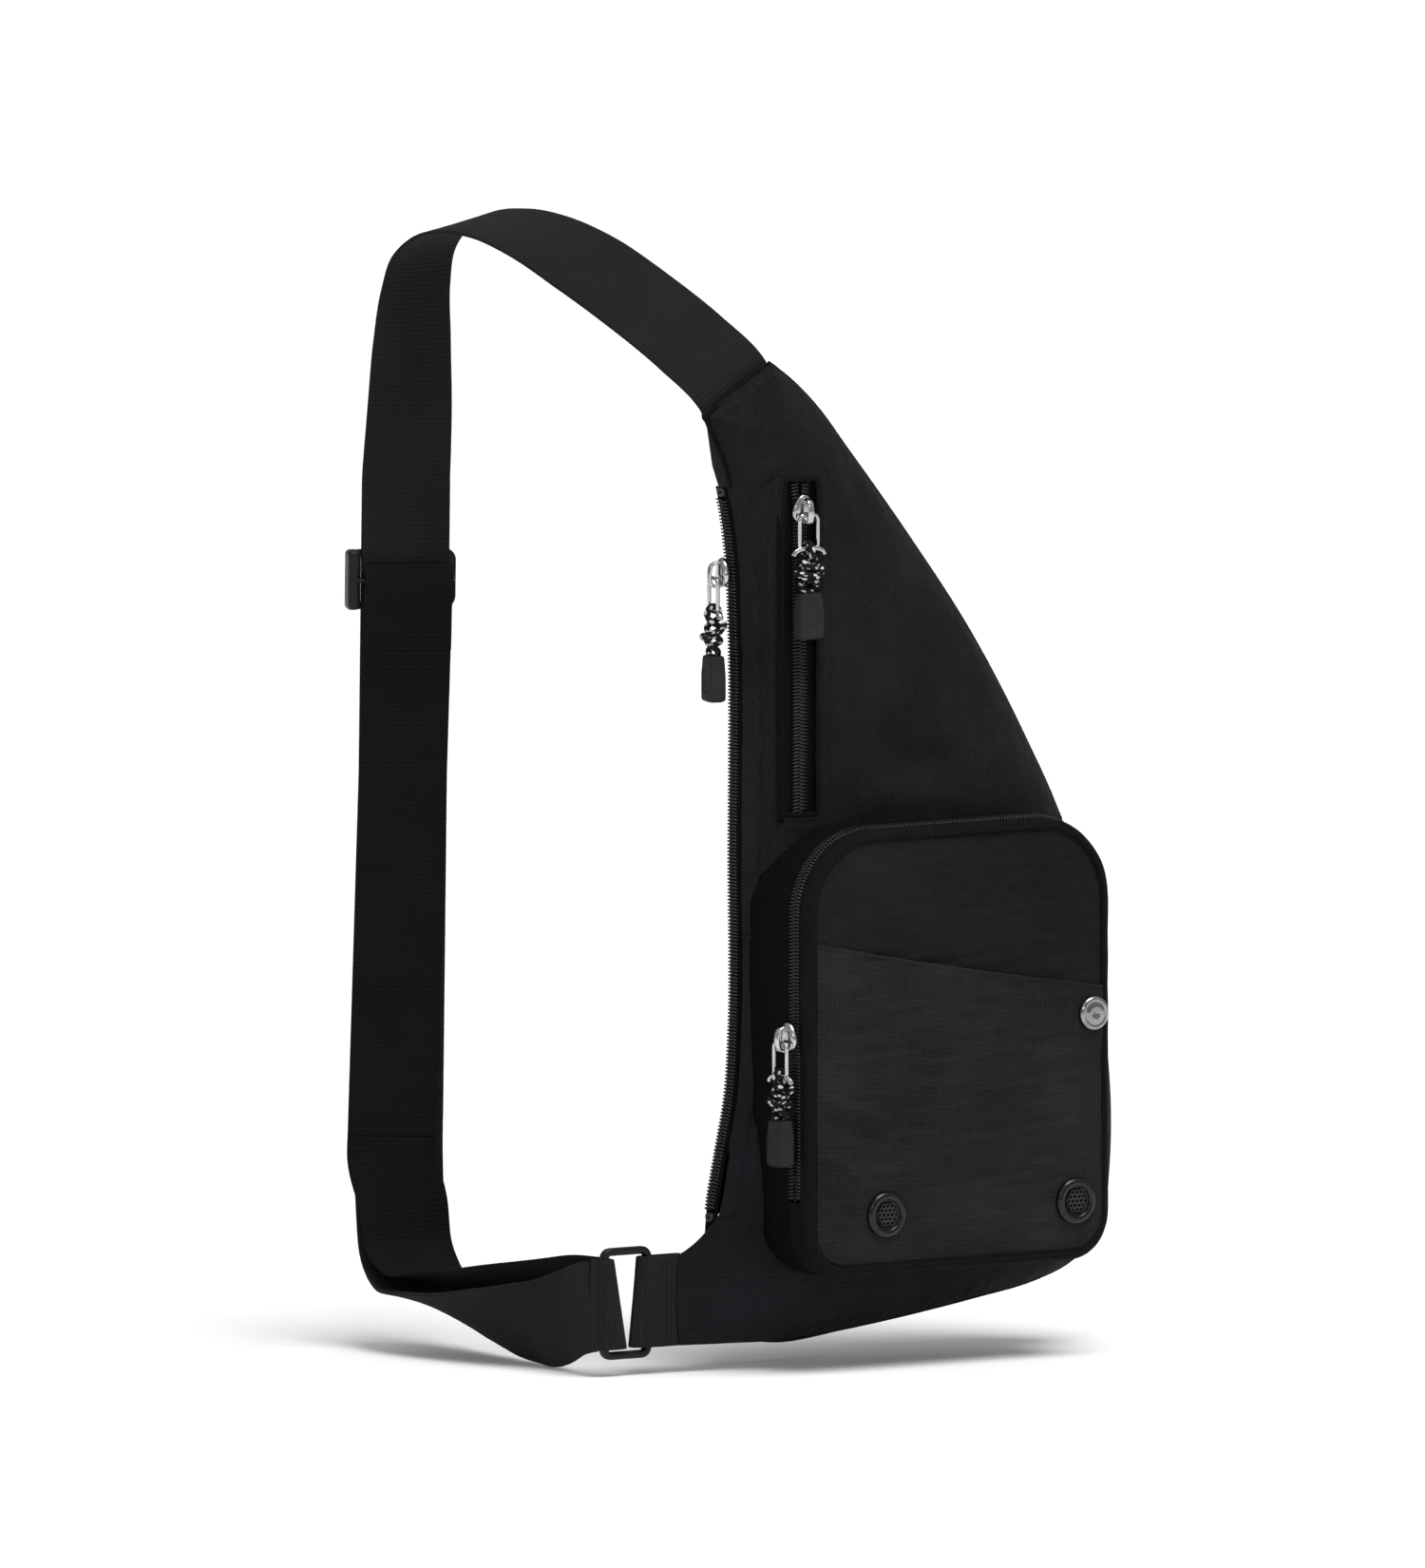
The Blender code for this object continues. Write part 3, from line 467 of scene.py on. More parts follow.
class Nodes:
    """Short ways to add shader nodes to one material or world."""

    def __init__(self, owner: bpy.types.Material | bpy.types.World) -> None:
        """Keep the owner's tree and shader."""
        owner.use_nodes = True
        self.tree = owner.node_tree
        self.shader = self.tree.nodes.get("Principled BSDF") or self.tree.nodes["Background"]

    def add(self, kind: str, inputs: dict, **settings) -> bpy.types.Node:
        """Add a node.

        Args:
            kind: Node type after ShaderNode.
            inputs: Socket name or number to a value or another node's output.
            **settings: Properties of the node.

        Returns:
            The node.
        """
        node = self.tree.nodes.new("ShaderNode" + kind)
        for key, value in settings.items():
            setattr(node, key, value)
        for key, value in inputs.items():
            if isinstance(value, Socket):
                self.tree.links.new(value, node.inputs[key])
            else:
                node.inputs[key].default_value = value
        return node

    def math(self, operation: str, *values) -> Socket:
        """One arithmetic step on values or sockets."""
        return self.add("Math", dict(enumerate(values)), operation=operation).outputs[0]

    def object_place(self) -> Socket:
        """Object coordinates, in metres."""
        return self.add("TexCoord", {}).outputs["Object"]

    def cloth_place(self) -> Socket:
        """Coordinates that run with the cloth, in metres."""
        return self.add("UVMap", {}, uv_map=CLOTH_UV).outputs["UV"]

    def noise(self, place: Socket, scale: float, detail: float = 2.0) -> Socket:
        """Noise from 0 to 1 with features about 1/scale metres wide."""
        return self.add("TexNoise", {"Vector": place, "Scale": scale, "Detail": detail}).outputs["Fac"]

    def lines(self, value: Socket, pitch: float, power: float = 1.0) -> Socket:
        """Ridges across a coordinate: (0.5 + 0.5 sin(2 pi x / pitch)) ^ power."""
        wave = self.math("SINE", self.math("MULTIPLY", value, math.tau / pitch))
        return self.math("POWER", self.math("MULTIPLY_ADD", wave, 0.5, 0.5), power)

    def split(self, place: Socket) -> bpy.types.bpy_prop_collection:
        """The X, Y and Z outputs of a coordinate."""
        return self.add("SeparateXYZ", {0: place}).outputs

    def ramp(self, value: Socket, dark: Numbers, light: Numbers,
             low: float = 0.0, high: float = 1.0) -> Socket:
        """A colour between two, by where the value lies from low to high."""
        node = self.add("ValToRGB", {0: value})
        for element, position, color in zip(node.color_ramp.elements, (low, high), (dark, light)):
            element.position = position
            element.color = (*color, 1.0)
        return node.outputs["Color"]

    def spread(self, value: Socket, low: float, high: float) -> Socket:
        """A value from 0..1 spread to low..high."""
        return self.math("MULTIPLY_ADD", value, high - low, low)

    def relief(self, height: Socket, depth: float, strength: float = 1.0) -> None:
        """Bump the shader's surface by a height of that many metres."""
        bump = self.add("Bump", {"Height": height, "Distance": depth, "Strength": strength})
        self.tree.links.new(bump.outputs[0], self.shader.inputs["Normal"])


def shade(color: Numbers, factor: float) -> Triple:
    """A colour made lighter or darker."""
    return tuple(min(channel * factor, 1.0) for channel in color)


@dataclass(frozen=True)
class Finish:
    """What all finishes share: a name, a slot, a colour, a gloss and how to make the material once."""

    name: str
    slot: Slot
    color: Triple
    roughness: float
    specular: float = 0.25
    metallic: float = 0.0
    sheen: float = 0.0

    def material(self) -> bpy.types.Material:
        """The material of this name, made on first use."""
        known = bpy.data.materials.get(self.name)
        if known:
            return known
        material = bpy.data.materials.new(self.name)
        nodes = Nodes(material)
        sockets = nodes.shader.inputs
        sockets["Base Color"].default_value = (*self.color, 1.0)
        sockets["Roughness"].default_value = self.roughness
        sockets["Specular IOR Level"].default_value = self.specular
        sockets["Metallic"].default_value = self.metallic
        sockets["Sheen Weight"].default_value = self.sheen
        sockets["Sheen Roughness"].default_value = 0.5
        self.pattern(nodes)
        return material

    def tint(self, nodes: Nodes, value: Socket, low: float, high: float) -> None:
        """Colour from low to high times the finish's own, by a value from 0 to 1."""
        color = nodes.ramp(value, shade(self.color, low), shade(self.color, high), 0.25, 0.75)
        nodes.tree.links.new(color, nodes.shader.inputs["Base Color"])

    def gloss(self, nodes: Nodes, value: Socket, low: float, high: float) -> None:
        """Roughness from low to high by a value from 0 to 1."""
        nodes.tree.links.new(nodes.spread(value, low, high), nodes.shader.inputs["Roughness"])

    def pattern(self, nodes: Nodes) -> None:
        """Detail that a kind of finish adds; a plain one has a fine grain."""
        place = nodes.object_place()
        grain = nodes.noise(place, 900.0)
        self.tint(nodes, nodes.noise(place, 60.0), 0.85, 1.15)
        self.gloss(nodes, grain, self.roughness - 0.08, self.roughness + 0.08)
        nodes.relief(grain, 0.00008)


@dataclass(frozen=True)
class WovenNylon(Finish):
    """Dense plain weave: fine crossing threads, slubs and a slow drift of tone."""

    pitch: float = 0.0007

    def pattern(self, nodes: Nodes) -> None:
        """Threads both ways as crossing sine ridges, with cloudy tone and roughness."""
        place = nodes.object_place()
        cloth = nodes.split(nodes.cloth_place())
        weave = nodes.math("ADD", nodes.lines(cloth[0], self.pitch), nodes.lines(cloth[1], self.pitch))
        slub = nodes.noise(place, 700.0, 3.0)
        cloud = nodes.noise(place, 22.0, 3.0)
        self.tint(nodes, nodes.math("MULTIPLY_ADD", slub, 0.45, nodes.math("MULTIPLY", cloud, 0.55)), 0.5, 1.7)
        self.gloss(nodes, cloud, self.roughness - 0.1, self.roughness + 0.1)
        height = nodes.math("MULTIPLY_ADD", weave, 0.3, slub)
        nodes.relief(height, 0.00026, 1.0)


@dataclass(frozen=True)
class RipstopWeave(Finish):
    """Light cloth with a raised square grid of thicker threads."""

    pitch: float = 0.0021

    def pattern(self, nodes: Nodes) -> None:
        """Thick threads as narrow ridges at the pitch both ways, over slight puckers between them."""
        place = nodes.object_place()
        cloth = nodes.split(nodes.cloth_place())
        grid = nodes.math("MAXIMUM", nodes.lines(cloth[0], self.pitch, 7.0),
                          nodes.lines(cloth[1], self.pitch, 7.0))
        slub = nodes.noise(place, 800.0, 3.0)
        cloud = nodes.noise(place, 26.0, 3.0)
        tone = nodes.math("MULTIPLY_ADD", grid, 0.14, nodes.math("MULTIPLY_ADD", slub, 0.3,
                                                             nodes.math("MULTIPLY", cloud, 0.5)))
        self.tint(nodes, tone, 0.55, 1.7)
        self.gloss(nodes, cloud, self.roughness - 0.1, self.roughness + 0.1)
        height = nodes.math("MULTIPLY_ADD", grid, 0.7, nodes.math("MULTIPLY", slub, 0.8))
        nodes.relief(height, 0.0003, 0.9)


@dataclass(frozen=True)
class RibbedWebbing(Finish):
    """Narrow woven webbing: ribs across its width and fine fuzz."""

    rib: float = 0.0019

    def pattern(self, nodes: Nodes) -> None:
        """Ribs as sine ridges along the run, broken by warp threads across it."""
        place = nodes.object_place()
        cloth = nodes.split(nodes.cloth_place())
        ribs = nodes.lines(cloth[1], self.rib, 1.5)
        warp = nodes.lines(cloth[0], 0.0008)
        fuzz = nodes.noise(place, 1100.0, 3.0)
        cloud = nodes.noise(place, 30.0, 2.0)
        tone = nodes.math("MULTIPLY_ADD", ribs, 0.22, nodes.math("MULTIPLY_ADD", fuzz, 0.35,
                                                             nodes.math("MULTIPLY", cloud, 0.45)))
        self.tint(nodes, tone, 0.72, 1.35)
        height = nodes.math("MULTIPLY_ADD", ribs, 1.0, nodes.math("MULTIPLY_ADD", warp, 0.35, fuzz))
        nodes.relief(height, 0.00014, 0.8)


@dataclass(frozen=True)
class HerringboneTape(Finish):
    """Zip tape: slanted ribs that change side every few threads."""

    pitch: float = 0.0011

    def pattern(self, nodes: Nodes) -> None:
        """Ridges across v + |u - middle of the band|, which makes the V of a herringbone."""
        cloth = nodes.split(nodes.cloth_place())
        fold = nodes.math("PINGPONG", cloth[0], 0.0022)
        ribs = nodes.lines(nodes.math("ADD", cloth[1], fold), self.pitch)
        self.tint(nodes, ribs, 0.75, 1.3)
        nodes.relief(ribs, 0.00015, 0.8)


@dataclass(frozen=True)
class BraidedCord(Finish):
    """Round braid with light fleck yarns that cross it slantwise."""

    fleck: Triple = (0.62, 0.62, 0.6)

    def pattern(self, nodes: Nodes) -> None:
        """Two families of slanted yarns; flecks show where both sine families crest."""
        cloth = nodes.split(nodes.cloth_place())
        left = nodes.lines(nodes.math("ADD", cloth[0], cloth[1]), 0.0041, 1.0)
        right = nodes.lines(nodes.math("SUBTRACT", cloth[1], cloth[0]), 0.0059, 1.0)
        fleck = nodes.math("MULTIPLY", left, right)
        color = nodes.ramp(fleck, self.color, self.fleck, 0.5, 0.58)
        nodes.tree.links.new(color, nodes.shader.inputs["Base Color"])
        yarn = nodes.lines(nodes.math("ADD", cloth[0], cloth[1]), 0.0008)
        nodes.relief(yarn, 0.0002, 0.8)


@dataclass(frozen=True)
class PolishedMetal(Finish):
    """Plated die-cast metal with faint scuffs and slightly uneven polish."""

    def pattern(self, nodes: Nodes) -> None:
        """Roughness and tone from cloudy noise, with scuffs from stretched fine noise."""
        place = nodes.object_place()
        cloud = nodes.noise(place, 240.0, 3.0)
        scuff = nodes.noise(place, 1600.0, 4.0)
        self.tint(nodes, cloud, 0.75, 1.2)
        self.gloss(nodes, nodes.math("MULTIPLY", cloud, scuff), self.roughness - 0.08, self.roughness + 0.35)
        nodes.relief(scuff, 0.00003, 0.5)


@dataclass(frozen=True)
class SpacerMesh(Finish):
    """Breathable back mesh: rows of small round holes over foam."""

    pitch: float = 0.0026

    def pattern(self, nodes: Nodes) -> None:
        """Holes at the cell middles of a Voronoi grid with no randomness, laid over X and Z, turned 45 degrees;
        the holes are painted dark as the shade inside them.
        """
        axes = nodes.split(nodes.object_place())
        flat = nodes.add("CombineXYZ", {0: axes[0], 1: axes[2]}).outputs[0]
        scaled = nodes.add("Mapping", {"Vector": flat, "Rotation": (0, 0, math.pi / 4)})
        hole = nodes.add("TexVoronoi", {"Vector": scaled.outputs[0], "Scale": 1 / self.pitch,
                                        "Randomness": 0.0}, voronoi_dimensions="2D").outputs["Distance"]
        # Painted shade: the holes fall to a quarter of the mesh's colour.
        color = nodes.ramp(hole, shade(self.color, 0.25), shade(self.color, 1.2), 0.22, 0.36)
        nodes.tree.links.new(color, nodes.shader.inputs["Base Color"])
        nodes.relief(nodes.math("MINIMUM", hole, 0.4), 0.0008, 0.8)


NYLON = WovenNylon("smooth_nylon", Slot.NYLON, (0.0102, 0.0102, 0.0103), 0.75, 0.05, sheen=0.01)
# Painted shade: piping, bindings, the slit's lip and the pocket's border and fold get nylon painted darker,
# standing in for the shade at seams and rolled edges.
SHADED_TRIM_NYLON = WovenNylon("trim_nylon_painted_shade", Slot.NYLON, (0.0055, 0.0055, 0.0056), 0.75, 0.05, pitch=0.0005)
# Painted shade: the side gusset, zip flange, zip wall and pocket gusset get the front's nylon painted darker,
# standing in for the shade on walls that face away from the light.
SHADED_WALL_NYLON = WovenNylon("wall_nylon_painted_shade", Slot.NYLON, (0.0034, 0.0034, 0.0035), 0.8, 0.04)
RIPSTOP = RipstopWeave("ripstop_nylon", Slot.RIPSTOP, (0.0152, 0.0152, 0.0155), 0.72, 0.06, sheen=0.01)
BASE_RIPSTOP = RipstopWeave("base_ripstop", Slot.RIPSTOP, (0.0104, 0.0102, 0.0128), 0.72, 0.06, sheen=0.01)
LINING = WovenNylon("lining_cloth", Slot.LINING, (0.004, 0.004, 0.004), 0.85, 0.05, pitch=0.0009)
# Painted light: the shoulder webbing is painted lighter than plain webbing, standing in for the light on the
# strap's upward faces.
WEBBING = RibbedWebbing("shoulder_webbing_painted_light", Slot.WEBBING, (0.0128, 0.0128, 0.0128), 0.8, 0.06, sheen=0.02)
# Painted shade: the same webbing painted darker for the return layer and the sewn end, standing in for the shade
# on the strap's inner faces.
SHADED_WEBBING = RibbedWebbing("return_webbing_painted_shade", Slot.WEBBING, (0.0078, 0.0078, 0.0078), 0.85, 0.04)
TAPE = HerringboneTape("herringbone_tape", Slot.ZIP_TAPE, (0.0048, 0.0048, 0.0048), 0.85, 0.04)
TEETH = Finish("coil_nylon", Slot.ZIP_TEETH, (0.0105, 0.0105, 0.0105), 0.4, 0.35)
THREAD = Finish("bonded_thread", Slot.NYLON, (0.0085, 0.0085, 0.0085), 0.6, 0.08)
METAL = PolishedMetal("gunmetal", Slot.PULL_METAL, (0.5, 0.5, 0.51), 0.13, 0.5, metallic=1.0)
BLACK_METAL = PolishedMetal("black_plated_metal", Slot.PULL_METAL, (0.02, 0.02, 0.02), 0.4, 0.4)
SNAP_METAL = PolishedMetal("snap_nickel", Slot.SNAP, (0.3, 0.3, 0.3), 0.16, 0.5, metallic=1.0)
RUBBER = Finish("moulded_rubber", Slot.RUBBER, (0.02, 0.02, 0.02), 0.62, 0.12)
CORD = BraidedCord("flecked_cord", Slot.CORD, (0.006, 0.006, 0.006), 0.7, 0.15)
BUCKLE = Finish("moulded_buckle", Slot.BUCKLE, (0.0065, 0.0065, 0.0065), 0.38, 0.22)
EYELET = Finish("glossy_eyelet", Slot.EYELET, (0.004, 0.004, 0.004), 0.22, 0.35)
MESH_PLASTIC = Finish("moulded_grille", Slot.MESH, (0.014, 0.014, 0.014), 0.35, 0.4)
AIR_MESH = SpacerMesh("spacer_mesh", Slot.AIR_MESH, (0.012, 0.012, 0.0125), 0.85, 0.06)


# Placing pieces

@dataclass
class Dress:
    """How a shape becomes a piece: finish, body and replaced nodes; a slot, where it isn't the finish's own, is
    kept but not applied.
    """

    finish: Finish
    slot: Optional[Slot] = None
    body: str = "bag"
    replaces: str = ""
    toward: Optional[Triple] = None
    thickness: float = 0.0
    bend: Optional[tuple[str, str, tuple, tuple]] = None

    def put(self, name: str, shape: Shape | Array | bpy.types.Mesh) -> bpy.types.Object:
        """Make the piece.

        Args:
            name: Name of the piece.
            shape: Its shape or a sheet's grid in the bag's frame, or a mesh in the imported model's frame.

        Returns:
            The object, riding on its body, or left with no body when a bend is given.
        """
        if isinstance(shape, np.ndarray):
            shape = Shape().grid(shape)
        obj = linked(name, shape.mesh(name, self.toward) if isinstance(shape, Shape) else shape)
        obj.data.materials.append(self.finish.material())
        if self.thickness:
            solid = obj.modifiers.new("Cloth", "SOLIDIFY")
            solid.thickness = self.thickness * MM
            solid.offset = -1.0
        if self.bend:
            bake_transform(obj)
        else:
            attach(obj, self.body)
        if self.replaces:
            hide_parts(*self.replaces.split())
        LOG.info("%-24s %6d faces, body %s", name, len(obj.data.polygons), self.body)
        return obj


def linked(name: str, data: bpy.types.ID) -> bpy.types.Object:
    """A new object of the scene."""
    obj = bpy.data.objects.new(name, data)
    bpy.context.scene.collection.objects.link(obj)
    return obj


def world(point: Numbers) -> Triple:
    """A point of the bag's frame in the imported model's frame, in metres."""
    return tuple(((np.asarray(point, float) - CREST) * MM).tolist())


CAPSULE_RINGS = ((-1.0, 0.25), (-0.8, 0.85), (0.0, 1.0), (0.8, 0.85), (1.0, 0.25))


def stitch_row(path: Array, normal: Array, pitch: float = 3.0, length: float = 2.3,
               radius: float = 0.26) -> Shape:
    """A row of sunk stitches: small six-sided capsules at an equal pitch along a path.

    Args:
        path: Points of the seam.
        normal: Outward direction at each point.
        pitch: From one stitch to the next.
        length: Length of a stitch.
        radius: Half its thickness.

    Returns:
        The stitches as one shape.
    """
    reach = run_length(path)
    count = max(int(reach[-1] / pitch), 1)
    middle = (np.arange(count) + 0.5) * reach[-1] / count
    step = length / 2
    place = read_off(middle, reach, path)
    run = unit(read_off(middle + step, reach, path) - read_off(middle - step, reach, path))
    up = read_off(middle, reach, np.broadcast_to(normal, path.shape))
    up = unit(up - run * (up * run).sum(1, keepdims=True))
    side = np.cross(run, up)
    ring = circle(radius, 6)
    base = np.vstack([np.column_stack([np.full(6, x * step), ring * r]) for x, r in CAPSULE_RINGS])
    index = np.arange(30).reshape(5, 6)
    index = np.hstack([index, index[:, :1]])
    faces = cells(index)
    shape = Shape().copies(base, faces, place, (run, side, up))
    ends = np.array([[5, 4, 3, 2, 1, 0], [24, 25, 26, 27, 28, 29]])
    shift = np.arange(count)[:, None, None] * len(base)
    shape.faces.append((ends[None] + shift).reshape(-1, 6))
    shape.uvs.append(np.zeros((2 * count, 6, 2)))
    return shape


def put_stitches(name: str, paths: Sequence[Array], normal: Numbers | Array, pitch: float = 3.0,
                 length: float = 2.3, slot: Optional[Slot] = None, body: str = "bag") -> None:
    """Make one piece of the rows of stitches along some paths.

    Args:
        name: Name of the piece.
        paths: One seam each.
        normal: Their outward direction.
        pitch: From one stitch to the next.
        length: Length of a stitch.
        slot: Slot, where it isn't the thread's own; passed on but not applied.
        body: The body that carries them.
    """
    shape = Shape()
    for path in paths:
        shape.join(stitch_row(path, np.array(normal), pitch, length))
    Dress(THREAD, slot, body).put(name, shape)


@dataclass(frozen=True)
class CoilZip:
    """A coil zip: two nylon spirals that mesh along a path."""

    pitch: float = 1.4
    reach: float = 1.75
    lift: float = 0.9
    wire: float = 0.47
    centre: float = 1.4

    def build(self, path: Array, outward: Array, spread: Callable[[Array], Array]) -> Shape:
        """Both spirals: they turn as centre + reach cos, lift sin, half a turn apart.

        Args:
            path: Middle line of the closed chain.
            outward: Direction away from the bag.
            spread: How far the sides stand apart, by length along the path.

        Returns:
            Both spirals.
        """
        reach = run_length(path)
        turns = reach[-1] / self.pitch
        t = np.linspace(0.3, turns - 0.3, int(turns * 8))
        at = t * self.pitch
        middle = read_off(at, reach, path)
        run = unit(read_off(at, reach, np.gradient(path, axis=0)))
        up = read_off(at, reach, np.broadcast_to(outward, path.shape))
        up = unit(up - run * (up * run).sum(1, keepdims=True))
        side = np.cross(run, up)
        shape = Shape()
        for sign, shift in ((1.0, 0.0), (-1.0, 0.5)):
            turn = math.tau * (t + shift)
            off = sign * (self.centre + spread(at) + self.reach * np.cos(turn))
            line = middle + side * off[:, None] + up * (self.lift * np.sin(turn))[:, None]
            across, normal = path_frame(line, run)
            shape.grid(swept(line, across, normal, circle(self.wire, 6)), around=True, caps=True)
        return shape


# Body

LEFT = ((-8, 6), (-10, 30), (-8.5, 58), (-4.5, 78), (0.5, 102), (2.5, 130), (2.5, 200),
        (2.5, 290), (1, 320), (-3, 345), (-8, 362), (-14, 374), (-17, 381))
RIGHT = ((172, 32), (178, 41), (181, 60), (182, 85), (180, 112), (175, 142), (167, 178), (158, 205),
         (139.5, 241), (112, 286), (82, 326), (52, 363), (36, 382), (25, 392), (14, 400))
BOTTOM = ((-8, 6), (17, 2), (50, 5), (82, 9), (115, 14), (147, 20), (160, 24.5), (172, 32))
TOP = ((-17, 381), (14, 400))
WING_TAB = ((-29.2, 2.6), (-30.2, 12), (-30.4, 28), (-29.4, 39.4))
WING_TOP = ((-29.4, 39.4), (-23, 43), (-16.5, 47.6), (-12, 53.5), (-9, 61), (-4.5, 78))
WING_BOTTOM = ((-29.2, 2.6), (-8, 2.4), (17, 2), (50, 5), (82, 9), (115, 14), (147, 20), (160, 24.5), (172, 32))


@dataclass(frozen=True)
class Crease:
    """One fold of the cloth: a line, how high it stands (negative for a hollow) and how wide it is."""

    line: tuple[tuple[float, float], ...]
    height: float
    width: float

    def relief(self, xz: Array) -> Array:
        """Height at each point: height exp(-(distance/width)^2), fading at both ends of the line."""
        knots = smooth_curve(self.line, 14)
        distance, along = segment_distance(xz, knots[:-1], knots[1:])
        nearest = distance.argmin(-1)
        near = distance.min(-1)
        share = (nearest + np.take_along_axis(along, nearest[..., None], -1)[..., 0]) / 13
        fade = smooth_step(share, -0.02, 0.25) * smooth_step(1 - share, -0.02, 0.3)
        return self.height * np.exp(-(near / self.width) ** 2) * fade


LOW_CREASES = tuple(Crease(*row) for row in (
    (((-9, 60), (-2, 50), (6, 38), (14, 26), (27, 16), (40, 12)), -2.4, 3.2),
    (((-10, 56), (-6, 46), (2, 33), (10, 22), (20, 12)), 1.7, 3.4),
    (((-9, 61), (0, 60), (9, 54), (14, 47)), 1.5, 2.2),
    (((-9, 63), (1, 64.5), (10, 60)), -1.1, 1.8),
    (((-7, 70), (0, 75), (8, 83)), 1.1, 2.0),
    (((-6, 75), (1, 80), (8, 88)), -1.0, 1.7),
    (((-4, 82), (2, 88), (8, 97)), 0.9, 2.2),
    (((-1, 92), (4, 99), (8, 109)), -0.8, 2.2),
    (((1, 104), (5, 112), (8, 124)), 0.7, 2.4),
    (((-28, 30), (-20, 26), (-10, 24)), 0.5, 4.0),
    (((-28, 14), (-16, 12), (0, 12)), -0.5, 4.0),
    (((40, 9), (62, 15), (84, 14)), 0.9, 3.0),
    (((76, 10), (96, 18), (112, 19)), -0.8, 3.0),
    (((100, 16), (122, 20), (140, 25)), 0.7, 3.0),
))
HIGH_CREASES = tuple(Crease(*row) for row in (
    (((14, 356), (7.5, 354.5), (2.5, 348), (0.4, 341), (-0.6, 330)), -1.1, 1.3),
    (((12, 361), (4, 358), (-1, 349), (-2, 341)), 0.8, 2.2),
    (((-13, 372), (-6, 362), (2, 350)), 0.9, 5.0),
    (((-4, 384), (8, 372), (24, 364)), -0.7, 6.0),
    (((34, 356), (46, 340), (58, 318)), 0.6, 7.0),
    (((36, 300), (56, 282), (78, 268)), -0.6, 8.0),
    (((52, 246), (76, 236), (104, 232)), -0.9, 8.0),
    (((40, 226), (70, 222), (110, 218)), 0.6, 6.0),
    (((30, 186), (24, 200), (22, 214)), -0.5, 5.0),
))


@dataclass
class BodyForm:
    """The rounded front of the bag as a depth over its outline, and the outline itself."""

    edge: float = -6.9
    bulge: float = 13.0
    reach: float = 9.0
    back: float = 20.0
    groove_in: float = 5.6
    seam_share: float = 0.425
    left_out: float = 1.2
    left_wrap: float = 2.7
    crease_scale: float = 1.35
    middle: Array = field(default_factory=lambda: np.array([78.5, 150.0]))

    def __post_init__(self) -> None:
        """Work out the seam loop, with the wing inside it."""
        left = smooth_curve(LEFT, 160) - (self.left_out, 0.0)
        above = left[left[:, 1] > 80]
        self.left_outer = np.vstack([smooth_curve(WING_TAB, 24), smooth_curve(WING_TOP, 40)[1:], above])
        sides = [smooth_curve(WING_BOTTOM, 60), smooth_curve(RIGHT, 90)[1:],
                 smooth_curve(TOP, 8)[::-1][1:], resample(self.left_outer, 120)[::-1][1:-1]]
        self.loop = np.vstack(sides)
        self.left = left
        split = int(np.searchsorted(self.left_outer[:, 1], self.split_left()[1]))
        self.left_low = np.vstack([self.left_outer[:split], self.split_left()[None]])
        self.left_high = np.vstack([self.split_left()[None],
                                    self.left_outer[split:][self.left_outer[split:, 1] > 168]])

    def split_left(self) -> Array:
        """Where the joint between the two front panels meets the left seam."""
        return smooth_curve(LEFT, 201)[int(self.seam_share * 200)] - (self.left_out, 0.0)

    def right_part(self, low: float, high: float) -> Array:
        """The stretch of the right side between two shares of its length."""
        side = smooth_curve(RIGHT, 401)
        return side[int(low * 400):int(high * 400) + 1]

    def depth(self, xz: Array) -> Array:
        """Depth of the front's outer face: edge - bulge (1 - exp(-distance to the seam / reach)).

        The bulge eases off over the wing. Creases, dents, puckers along the seam and a groove inside the
        left edge are added.

        Args:
            xz: Points across the front (..., 2).

        Returns:
            The depth Y at each point.
        """
        x, z = xz[..., 0], xz[..., 1]
        distance = segment_distance(xz, self.loop, np.roll(self.loop, -1, axis=0))[0].min(-1)
        low = 1 - smooth_step(z, 44, 80)
        left = self.left[self.left[:, 1] > 58]
        beside = segment_distance(xz, left[:-1], left[1:])[0].min(-1)
        edge = self.edge + 2.2 * low * smooth_step(-x, 10, 27)
        edge = edge + self.left_wrap * (1 - low) * (1 - smooth_step(beside, 0, 13))
        ease = 1 - low * (1 - smooth_step(x, -31, 16))
        y = edge - self.bulge * ease * (1 - np.exp(-distance / self.reach))
        calm = smooth_step(distance, 0.5, 7)
        creases = LOW_CREASES if z.max() < 190 else HIGH_CREASES
        y = y - calm * self.crease_scale * sum(crease.relief(xz) for crease in creases)
        calm = calm * (1 - 0.8 * np.exp(-(((x - 21) / 14) ** 2)) * smooth_step(z, 195, 215))
        y = y + calm * 0.9 * ripple(xz, 46.0, 3) + calm * 0.32 * ripple(xz, 15.0, 5)
        pucker = np.exp(-((distance - 4.5) / 4) ** 2) * 0.32
        return y + pucker * ripple(xz, 8.0, 11) + self.groove(beside, z)

    def groove(self, beside: Array, z: Array) -> Array:
        """The sewn-down line inside the left seam: 1.6 exp(-((distance to left) - 5.6)^2 / 0.9^2)."""
        fade = smooth_step(z, 30, 60) * (1 - smooth_step(z, 318, 338))
        return 1.6 * np.exp(-((beside - self.groove_in) / 0.9) ** 2) * fade

    def on_front(self, xz: Array, sink: float = 0.0) -> Array:
        """Points on the front's outer face, sunk by a distance."""
        return at_depth(xz, self.depth(xz) + sink)

    def drawn_in(self, xz: Array, share: float, shift: float) -> Array:
        """An outline scaled toward the bag's middle, its left side moved to the right."""
        pulled = self.middle + (xz - self.middle) * share
        pulled[..., 0] += shift * np.clip((self.middle[0] - xz[..., 0]) / self.middle[0], 0, 1.3)
        return pulled

    def rear(self, xz: Array, extra: float = 0.0) -> Array:
        """The rear outline: the zip side slants, so its left is drawn in the most."""
        return self.drawn_in(xz, 0.9 - extra, 10.5 + 90 * extra)


